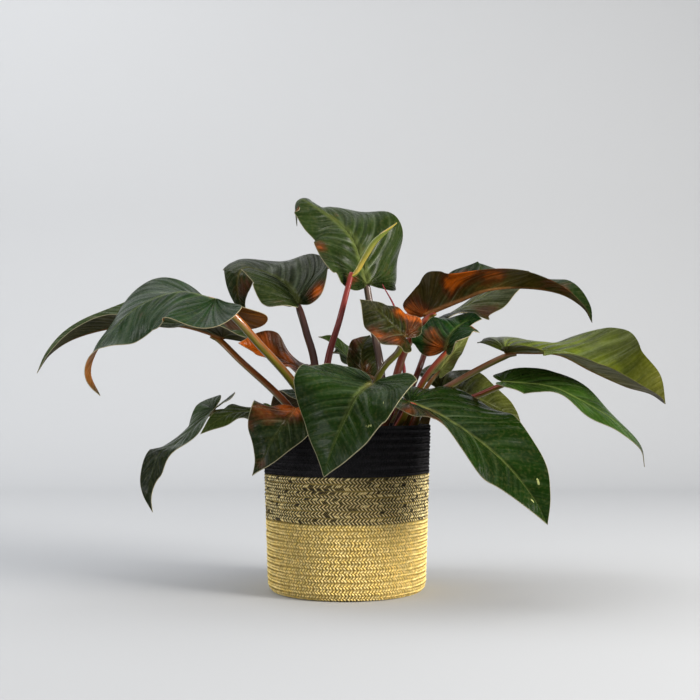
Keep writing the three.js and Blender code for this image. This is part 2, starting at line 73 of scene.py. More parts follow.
# %% Colour and node helpers
def linear(hex_colour):
    """sRGB hex to linear: c / 12.92 below 0.04045, and ((c + 0.055) / 1.055) to the power 2.4 above."""
    c = np.array([int(hex_colour[i:i + 2], 16) for i in (1, 3, 5)]) / 255
    return np.where(c <= 0.04045, c / 12.92, ((c + 0.055) / 1.055) ** 2.4)


def rgba(hex_colour):
    return (*linear(hex_colour), 1)


def blend(first, second, share):
    """A colour for each share: first + (second - first) share."""
    return first + (second - first) * np.asarray(share)[:, None]


def feed(node, values):
    """Sets a node's inputs. An output is linked, and a node stands for its first output."""
    for socket, value in values.items():
        if isinstance(value, bpy.types.Node):
            value = value.outputs[0]
        if isinstance(value, bpy.types.NodeSocket):
            node.id_data.links.new(value, node.inputs[socket])
        else:
            node.inputs[socket].default_value = value


def add(tree, kind, values=None, **settings):
    """Adds a shader node: settings are its own options, and values go to its inputs."""
    node = tree.nodes.new("ShaderNode" + kind)
    for name, value in settings.items():
        setattr(node, name, value)
    feed(node, values or {})
    return node


def surface(name, **values):
    """A material with a Principled shader whose constant values are set on the shader's own sockets."""
    material = bpy.data.materials.new(name)
    material.use_nodes = True
    shader = material.node_tree.nodes["Principled BSDF"]
    feed(shader, {socket.replace("_", " "): value for socket, value in values.items()})
    return material, material.node_tree, shader

# %% [markdown]
# ## Helpers for meshes
# Most pieces here are rings of points: a profile turned about an axis, or a circle carried along a
# line. One function joins such rings into a closed shell.

# %% Mesh helpers
def grid_faces(rows, columns, wrap=False):
    """Quads of a grid of points that is stored row by row. With wrap, the last column joins the first."""
    i, j = np.meshgrid(np.arange(rows - 1), np.arange(columns if wrap else columns - 1), indexing="ij")
    here, beside = i * columns + j, i * columns + (j + 1) % columns
    return np.stack([here, here + columns, beside + columns, beside], -1).reshape(-1, 4)


def closed(rings, ends=None):
    """Points and arrays of faces of a shell, from rings stored as an array (ring, point, xyz).

    Two end points close the first and the last ring. Without them the last ring joins the first.
    """
    count, sides = rings.shape[:2]
    k = np.arange(sides)
    n = (k + 1) % sides
    last = (count - 1) * sides
    points, faces = rings.reshape(-1, 3), [grid_faces(count, sides, wrap=True)]
    if ends is None:
        return points, faces + [np.stack([last + k, k, n, last + n], -1)]
    end = np.full(sides, len(points))
    caps = [np.stack([end, k, n], -1), np.stack([end + 1, last + n, last + k], -1)]
    return np.vstack([points, ends]), faces + caps


def circles(radius, height, sides):
    """Rings about the Z axis: x = r cos a, y = r sin a, z = h, with r and h as columns."""
    a = 2 * np.pi * np.arange(sides) / sides
    return np.stack(np.broadcast_arrays(radius * np.cos(a), radius * np.sin(a), height), -1)


def turned(profile, sides):
    """A profile of (radius, height) turned about the Z axis.

    A profile that starts and ends on the axis closes in two poles. Any other is a loop.
    """
    profile = np.asarray(profile, float)
    if profile[0, 0] > 0:
        return closed(circles(*profile.T[..., None], sides))
    poles = profile[[0, -1]] @ [[0, 0, 0], [0, 0, 1]]
    return closed(circles(*profile[1:-1].T[..., None], sides), poles)


def shape(name, points, faces, material, flat_from=np.inf):
    """A mesh object of millimetre points and arrays of faces, smooth up to the face flat_from."""
    mesh = bpy.data.meshes.new(name)
    mesh.from_pydata((np.asarray(points) * MM).tolist(), [],
                     [face for block in faces for face in block.tolist()])
    mesh.polygons.foreach_set("use_smooth", np.arange(len(mesh.polygons)) < flat_from)
    mesh.materials.append(material)
    made = bpy.data.objects.new(name, mesh)
    bpy.context.collection.objects.link(made)
    return made


def piece(name, points, faces, material, stands_for, slot, values=None, flat_from=np.inf):
    """A shape that stands for solids of the frame, with values stored at its points.

    A value with one number a point is a plain attribute, with two a UV map, and with three a colour.
    A closed shell's volume is the sum of a . (b x c) / 6 over its triangles. Where that comes out
    below zero its faces look inward, so they are flipped.
    """
    made = shape(name, points, faces, material, flat_from)
    mesh = made.data
    corner_point = np.empty(len(mesh.loops), int)
    mesh.loops.foreach_get("vertex_index", corner_point)
    for key, value in (values or {}).items():
        value = np.asarray(value, np.float32)
        if value.ndim == 1:
            mesh.attributes.new(key, "FLOAT", "POINT").data.foreach_set("value", value)
        elif value.shape[1] == 2:
            mesh.uv_layers.new(name=key).data.foreach_set("uv", value[corner_point].ravel())
        else:
            colour = np.c_[value, np.ones(len(value), np.float32)]
            mesh.attributes.new(key, "FLOAT_COLOR", "POINT").data.foreach_set("color", colour.ravel())
    mesh.calc_loop_triangles()
    corners = np.empty(3 * len(mesh.loop_triangles), int)
    mesh.loop_triangles.foreach_get("vertices", corners)
    a, b, c = np.asarray(points, float)[corners].reshape(-1, 3, 3).transpose(1, 0, 2)
    if np.einsum("ij,ij->", a, np.cross(b, c)) < 0:
        mesh.flip_normals()
    mesh.update()
    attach(made, "root")
    if stands_for:
        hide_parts(*stands_for)

# %% [markdown]
# ## Smooth lines
# A stalk or a midrib is a smooth line through a few points. The line between two points is a cubic
# whose slope at each point is half the step between its neighbours. Along the line each place gets
# three directions: ahead, up and to the side, with the up direction carried on without twisting.

# %% Smooth lines
def smooth_through(points, t):
    """Cubic through the points at t from 0 to 1: (2w3-3w2+1)b + (w3-2w2+w)m0 + (3w2-2w3)c + (w3-w2)m1."""
    p = np.asarray(points, float)
    p = np.vstack([2 * p[0] - p[1], p, 2 * p[-1] - p[-2]])
    n = len(p) - 3
    s = np.clip(np.asarray(t, float), 0, 1) * n
    i = np.minimum(s.astype(int), n - 1)
    w = (s - i)[:, None]
    a, b, c, d = p[i], p[i + 1], p[i + 2], p[i + 3]
    return ((2 * w**3 - 3 * w**2 + 1) * b + (w**3 - 2 * w**2 + w) * (c - a) / 2
            + (3 * w**2 - 2 * w**3) * c + (w**3 - w**2) * (d - b) / 2)


def even_line(points, count):
    """count places at even distances along the smooth line, and the line's length."""
    fine = smooth_through(points, np.linspace(0, 1, 400))
    run = np.r_[0, np.cumsum(np.linalg.norm(np.diff(fine, axis=0), axis=1))]
    want = np.linspace(0, run[-1], count)
    return np.stack([np.interp(want, run, fine[:, k]) for k in range(3)], 1), run[-1]


def along(values, t):
    """A smooth value at t from 0 to 1, between numbers that stand at even steps."""
    v = np.asarray(values, float)
    return smooth_through(v[:, None], np.ravel(t))[:, 0].reshape(np.shape(t))


def unit(v):
    return v / np.maximum(np.linalg.norm(v, axis=-1, keepdims=True), 1e-9)


def carried(line, up):
    """Directions ahead and up along a line. Up at each place is the last up made square to ahead."""
    ahead = unit(np.gradient(line, axis=0))
    ups = [np.asarray(up, float)]
    for t in ahead:  # one step along the line needs the step before it
        ups.append(unit(ups[-1] - (ups[-1] @ t) * t))
    return ahead, np.array(ups[1:])


def at_rows(table, t):
    """Rows of a table at t from 0 to 1, straight between one and the next."""
    steps = np.linspace(0, 1, len(table))
    return np.stack([np.interp(t, steps, table[:, k]) for k in range(table.shape[1])], -1)

# %% [markdown]
# ## Rope basket
# A basket of this kind is one long flat braid, coiled upward and sewn row to row. The braid shows as
# two lines of short strands that lean against each other, so each row looks like a chain of arrow
# heads. Every visible strand is a small spindle with pointed ends: 30 triangles each, because there
# are thousands. They are made as one array, laid out flat as distance along the row and height, and
# then wrapped round the basket. Real strands lie about 3 mm apart. In the undyed band, where only
# their shadows tell them apart, they are drawn 4.2 mm apart so that they show in the picture. A turned
# shell behind them closes the gaps and makes the inner wall.

# %% Basket sizes
FOOT_RADIUS, RIM_RADIUS, BASKET_HEIGHT, WALL = 100, 107, 208, 8
STRAND_LEAN, STRAND_LONG, STRAND_WIDE, LINE_OFF = 43, 0.74, 0.54, 0.235  # degrees, then shares
STRAND_THICK, STRAND_SINK = 1.7, 1.75
BANDS = {
    "natural": dict(low=0, high=91, rows=12, pitch=4.2),
    "mottled": dict(low=91, high=147, rows=7, pitch=2.3),
    "black": dict(low=147, high=208, rows=7, pitch=3.4),
}
chance = np.random.default_rng(7)


def taper(z):
    """The basket's radius at a height, as a straight taper."""
    return FOOT_RADIUS + (RIM_RADIUS - FOOT_RADIUS) * z / BASKET_HEIGHT


def basket_radius(z):
    """Outer radius at a height: the taper, drawn in by 8 mm round the foot, over 13 mm, as an ellipse."""
    tuck = np.clip(1 - z / 13, 0, 1)
    return taper(z) - 8 * (1 - np.sqrt(1 - tuck**2))


def strand_shape():
    """A spindle: three rings of 5 points, of radius sin(pi t)^0.6, and a point at each end.

    Columns are along the strand from -1 to 1, across it and out of the braid. The faces of its ends
    look inward. That is a known flaw: the rope's colours were matched to the photograph with it, and
    with the faces turned outward the braid comes out lighter.
    """
    t = np.array([0.2, 0.5, 0.8])[:, None]
    a = 2 * np.pi * (np.arange(5) + 0.25) / 5
    r = np.sin(np.pi * t) ** 0.6
    rings = np.stack(np.broadcast_arrays(2 * t - 1, r * np.cos(a), r * np.sin(a)), -1)
    points, (sides, *ends) = closed(rings, [[-1, 0, 0], [1, 0, 0]])
    return points, [sides, *(end[:, ::-1] for end in ends)]


def braid(low, high, rows, pitch):
    """All strands of a band: points, faces, each strand's number, and where a point lies along it.

    In a row of height h, strand k of the upper line is centred at (k p, 0.235 h) and leans up, and one
    of the lower line at (k p - p/2, -0.235 h) and leans down. Wrapping turns distance s into angle s / R.
    """
    strand, strand_faces = strand_shape()
    row_height = (high - low) / rows
    count = int(round(np.pi * (FOOT_RADIUS + RIM_RADIUS) / pitch))
    row, side, k = (a.ravel() for a in np.meshgrid(np.arange(rows), [1, -1], np.arange(count), indexing="ij"))
    slip, lift, tilt, stretch, bulge = chance.normal(size=(5, len(row)))
    turn = (k + 0.25 * side + 0.37 * row + 0.06 * slip) / count * 2 * np.pi
    sway = 0.35 * np.sin(3 * turn + 1.7 * row + low) + 0.25 * np.sin(7 * turn + 2.3 * row)
    height = low + (row + 0.5 + LINE_OFF * side) * row_height + sway + 0.15 * lift
    lean = (side * np.radians(STRAND_LEAN + 5 * tilt))[:, None]
    length = 0.5 * row_height * STRAND_LONG * (1 + 0.07 * stretch)
    x, y = strand[:, 0] * length[:, None], strand[:, 1] * 0.5 * pitch * STRAND_WIDE
    s = x * np.cos(lean) - y * np.sin(lean)
    z = np.clip(height[:, None] + x * np.sin(lean) + y * np.cos(lean), 0.15, BASKET_HEIGHT)
    radius = basket_radius(z) - STRAND_SINK + 0.2 * bulge[:, None] + strand[:, 2] * STRAND_THICK
    angle = turn[:, None] + s / radius
    points = np.stack([radius * np.cos(angle), radius * np.sin(angle), z], -1).reshape(-1, 3)
    start = len(strand) * np.arange(len(row))[:, None, None]
    faces = [(block + start).reshape(-1, block.shape[1]) for block in strand_faces]
    return points, faces, np.repeat(np.arange(len(row)), len(strand)), np.tile(strand[:, 0], len(row))

# %% [markdown]
# ## Rope material
# The rope is plant fibre, spun and braided, undyed in the lower band and dyed black in the upper one.
# In the mottled band dark and natural strands lie side by side. Dry fibre has no gloss: roughness is
# near 0.9, and the light catches only single fibres, which are 0.3 mm wide lines along each strand.
# Every strand has its own shade, stored as a colour at its points.

# %% Rope material
def streaked(name, uv_map, stretch, noise, shades, **values):
    """A material with a stored tint, times a shade from noise that is stretched on the UV map."""
    material, tree, shader = surface(name, **values)
    way = add(tree, "Mapping", {"Vector": add(tree, "UVMap", uv_map=uv_map), "Scale": stretch})
    streak = add(tree, "TexNoise", {"Vector": way, **noise})
    shade = add(tree, "MapRange", {0: streak, 1: 0.3, 2: 0.7, 3: shades[0], 4: shades[1]})
    tint = add(tree, "Attribute", attribute_name="tint")
    feed(shader, {"Base Color": add(tree, "VectorMath", {0: tint, 1: shade}, operation="MULTIPLY")})
    return material, tree, shader, streak


rope, tree, shader, fibre = streaked(
    "braided_plant_fibre", "strand", (1.2, 7, 1), {"Scale": 2.2, "Detail": 3}, (0.75, 1.22),
    Roughness=0.88, Specular_IOR_Level=0.25)
feed(shader, {"Normal": add(tree, "Bump", {"Height": fibre, "Strength": 0.5, "Distance": 0.0004})})
NATURAL, SUN, BLACK = linear("#edd07a"), linear("#f8e8b2"), linear("#252427")
ODD_STRANDS = 0.07


def strand_tints(band, numbers):
    """A colour for each strand: natural ones vary from straw to gold, and dyed ones from black to grey.

    In the mottled band every other strand is dyed, and one in fourteen strands breaks that rule.
    """
    count = numbers.max() + 1
    shade = chance.uniform(0.82, 1.17, count)[:, None]
    gold = blend(NATURAL, SUN, chance.uniform(0, 0.45, count)) * shade
    dark = BLACK * chance.uniform(0.6, 1.5, count)[:, None]
    dyed = (np.arange(count) % 2 == 0) ^ (chance.uniform(size=count) < ODD_STRANDS)
    if band == "mottled":
        gold, dark = gold * 0.45 + SUN * 0.66, dark + NATURAL * 0.06
    else:
        dyed[:] = band == "black"
    return np.where(dyed[:, None], dark, gold)[numbers]


# %% Basket bands
SHELL_SIDES, SHELL_BEHIND, GROOVE, JOINT, FLOOR_RADIUS, FLOOR_THICK = 144, 2.2, 1.6, 0.15, 60, 6


def wall_shell(low, high, rows, **_):
    """The band behind its strands. Its rows are half rounds, r = R - 2.2 - 1.6 (1 - |sin(pi t)|).

    Here t counts the rows. The inner wall, 8 mm further in than the taper, comes back down. In the
    lowest band it ends at the woven floor, which goes on to the axis.
    """
    t = np.linspace(0, rows, rows * 4 + 1)
    z = np.clip(low + (high - low) * t / rows, low + JOINT, high - JOINT)
    z[-1] = high if high == BASKET_HEIGHT else z[-1]
    z[0] = z[0] if low > 0 else 0
    groove = 1 - np.abs(np.sin(np.pi * t))
    outer = np.c_[basket_radius(z) - SHELL_BEHIND - GROOVE * groove, z]
    inner = np.c_[taper(z) - WALL + GROOVE / 2 * groove, z][::-1]
    if low == 0:
        outer = np.r_[[[0, 0], [FLOOR_RADIUS, 0]], outer]
        inner = np.r_[inner[inner[:, 1] > FLOOR_THICK], [[FLOOR_RADIUS, FLOOR_THICK], [0, FLOOR_THICK]]]
    return turned(np.r_[outer, inner], SHELL_SIDES)


# The wall shows in the gaps between strands and as the inner wall. In the undyed and mottled bands it is
# painted darker than the undyed fibre: painted shade in the gaps.
WALL_IN_SHADE = {"natural": NATURAL * 0.5, "mottled": NATURAL * 0.4, "black": BLACK}
for band, size in BANDS.items():
    points, faces, numbers, place = braid(**size)
    round_it = np.tile(np.r_[np.tile(np.arange(5) / 2.5, 3), 0, 0], numbers.max() + 1)
    piece(f"braid_{band}", points, faces, rope, [], f"rope_{band}",
          {"tint": strand_tints(band, numbers), "strand": np.c_[place + 3 * numbers, round_it]})
    print(f"basket {band}:", numbers.max() + 1, "strands")
    points, faces = wall_shell(**size)
    x, y, z = points.T
    piece(f"basket_{band}_wall", points, faces, rope, [f"basket_{band}"], f"rope_{band}",
          {"tint": np.tile(WALL_IN_SHADE[band], (len(points), 1)),
           "strand": np.c_[np.arctan2(y, x) * 25, z / 3 + np.hypot(x, y) / 3]})

# %% [markdown]
# ## Nursery pot and potting mix
# Inside the basket stands the plain black pot that the plant was grown in, blown from thin
# polypropylene with a rolled lip, and so a little glossy and faintly dimpled. Its soil is mostly bark
# and peat: a disc of noise-heaved ground, with bark chips of 4 to 12 mm lying on it. Dimples and
# crumbs are both a noise, which sets the colour and the relief together.

# %% Nursery pot
def speckled(name, dark, light, noise, span, relief, **values):
    """A material whose colour runs from dark to light over a span of a noise, which is its relief too."""
    material, tree, shader = surface(name, **values)
    speck = add(tree, "TexNoise", {"Vector": add(tree, "TexCoord").outputs["Object"], **noise})
    shade = add(tree, "MapRange", {0: speck, 1: span[0], 2: span[1]})
    colour = add(tree, "MixRGB", {"Fac": shade, "Color1": rgba(dark), "Color2": rgba(light)})
    feed(shader, {"Base Color": colour, "Normal": add(tree, "Bump", {"Height": speck, **relief})})
    return material


POT_FOOT, POT_TOP, POT_LIP, POT_LOW, POT_HIGH = 76, 90, 94, 6.3, 186.3
curl = np.linspace(-np.pi / 2, np.pi, 13)
curl = curl[curl <= np.pi * 0.75]
lip = np.c_[POT_LIP - 1.5 + 1.5 * np.cos(curl), POT_HIGH - 1.5 + 1.5 * np.sin(curl)]
foot = [[0, POT_LOW], [POT_FOOT - 4, POT_LOW], [POT_FOOT - 1.2, POT_LOW + 1.2], [POT_FOOT, POT_LOW + 4]]
collar = [[POT_TOP - 0.3, POT_HIGH - 10], [POT_LIP - 0.4, POT_HIGH - 9], [POT_LIP, POT_HIGH - 8]]
inside = [[POT_TOP - 0.2, POT_HIGH - 2], [POT_TOP - 1.8, POT_HIGH - 5], [POT_FOOT - 1.8, POT_LOW + 3],
          [0, POT_LOW + 3]]
points, faces = turned(np.vstack([foot, collar, lip, inside]), 96)
plastic = speckled("blown_polypropylene", "#141414", "#232323", {"Scale": 180, "Detail": 2}, (0, 1),
                   {"Strength": 0.25, "Distance": 0.0005}, Roughness=0.5, IOR=1.49)
piece("pot", points, faces, plastic, ["nursery_pot"], "pot_plastic")
print("pot:", len(points), "points")

# %% Potting mix
SOIL_TOP, SOIL_RADIUS, SOIL_SIDES, WAVE_COUNT = 176, 87, 200, 14
DISH = np.array([[87.2, 160], [60, 158]])


def waves(x, y, seed, size):
    """Smooth ground noise: a sum of 14 sines in random directions, with wavelengths near size mm."""
    draw = np.random.default_rng(seed)
    turn, phase = draw.uniform(0, 2 * np.pi, (2, WAVE_COUNT))
    number = 2 * np.pi / (size * draw.uniform(0.5, 1.6, WAVE_COUNT))
    way = np.multiply.outer(x, np.cos(turn)) + np.multiply.outer(y, np.sin(turn))
    return np.sin(number * way + phase).sum(-1) / WAVE_COUNT * 1.6


def soil_shape():
    """z = SOIL_TOP - 1.5 (r / R)^2 + heave, a disc of rings, closed under by a shallow dish."""
    r = np.linspace(0, 1, 70)[1:, None] * (SOIL_RADIUS + 0.5)
    disc = circles(r, 0, SOIL_SIDES)
    x, y, z = disc.transpose(2, 0, 1)
    z[:] = SOIL_TOP - 1.5 * (r / SOIL_RADIUS) ** 2 + 1.6 * waves(x, y, 3, 14) + 1.0 * waves(x, y, 5, 4)
    z[:] = np.minimum(z, SOIL_TOP + 2.5)
    dish = circles(*DISH.T[..., None], SOIL_SIDES)
    return closed(np.concatenate([disc, dish]), [[0, 0, z[0].mean()], [0, 0, DISH[-1, 1]]])


def chips(count):
    """Bark chips: an icosahedron each, squashed to its own three sizes, turned at random and laid on top."""
    g = (1 + 5 ** 0.5) / 2
    ball = unit(np.array([[-1, g, 0], [1, g, 0], [-1, -g, 0], [1, -g, 0], [0, -1, g], [0, 1, g],
                          [0, -1, -g], [0, 1, -g], [g, 0, -1], [g, 0, 1], [-g, 0, -1], [-g, 0, 1]]))
    faces = np.array([[0, 11, 5], [0, 5, 1], [0, 1, 7], [0, 7, 10], [0, 10, 11], [1, 5, 9], [5, 11, 4],
                      [11, 10, 2], [10, 7, 6], [7, 1, 8], [3, 9, 4], [3, 4, 2], [3, 2, 6], [3, 6, 8],
                      [3, 8, 9], [4, 9, 5], [2, 4, 11], [6, 2, 10], [8, 6, 7], [9, 8, 1]])
    size = chance.uniform([2, 1.2, 0.6], [6, 3, 1.8], (count, 3))
    rough = ball[None] * size[:, None] * chance.uniform(0.75, 1.2, (count, 12, 1))
    turn, tip = chance.uniform(0, 2 * np.pi, (count, 1)), chance.normal(0, 0.35, (count, 1))
    x, y, z = rough.transpose(2, 0, 1)
    z, x = z * np.cos(tip) + x * np.sin(tip), x * np.cos(tip) - z * np.sin(tip)
    r, a = 85 * np.sqrt(chance.uniform(0, 1, (count, 1))), chance.uniform(0, 2 * np.pi, (count, 1))
    cx, cy = r * np.cos(a), r * np.sin(a)
    cz = SOIL_TOP - 1.5 * (r / SOIL_RADIUS) ** 2 + 1.2 + 1.2 * waves(cx, cy, 3, 14)
    points = np.stack([x * np.cos(turn) - y * np.sin(turn) + cx,
                       x * np.sin(turn) + y * np.cos(turn) + cy, z + cz], -1)
    return points.reshape(-1, 3), [(faces + 12 * np.arange(count)[:, None, None]).reshape(-1, 3)]


CRUMBS = dict(noise={"Scale": 420, "Detail": 6, "Roughness": 0.65}, span=(0.35, 0.7),
              relief={"Strength": 0.9, "Distance": 0.0015}, Roughness=0.95, Specular_IOR_Level=0.2)
CHIPS = 420
peat = speckled("moist_peat", "#17100b", "#3f2d1e", **CRUMBS)
bark = speckled("bark", "#2c1d12", "#6b4a30", **CRUMBS)
piece("ground", *soil_shape(), peat, ["soil"], "potting_mix")
piece("bark_chips", *chips(CHIPS), bark, [], "potting_mix", flat_from=0)
print("soil:", CHIPS, "chips")
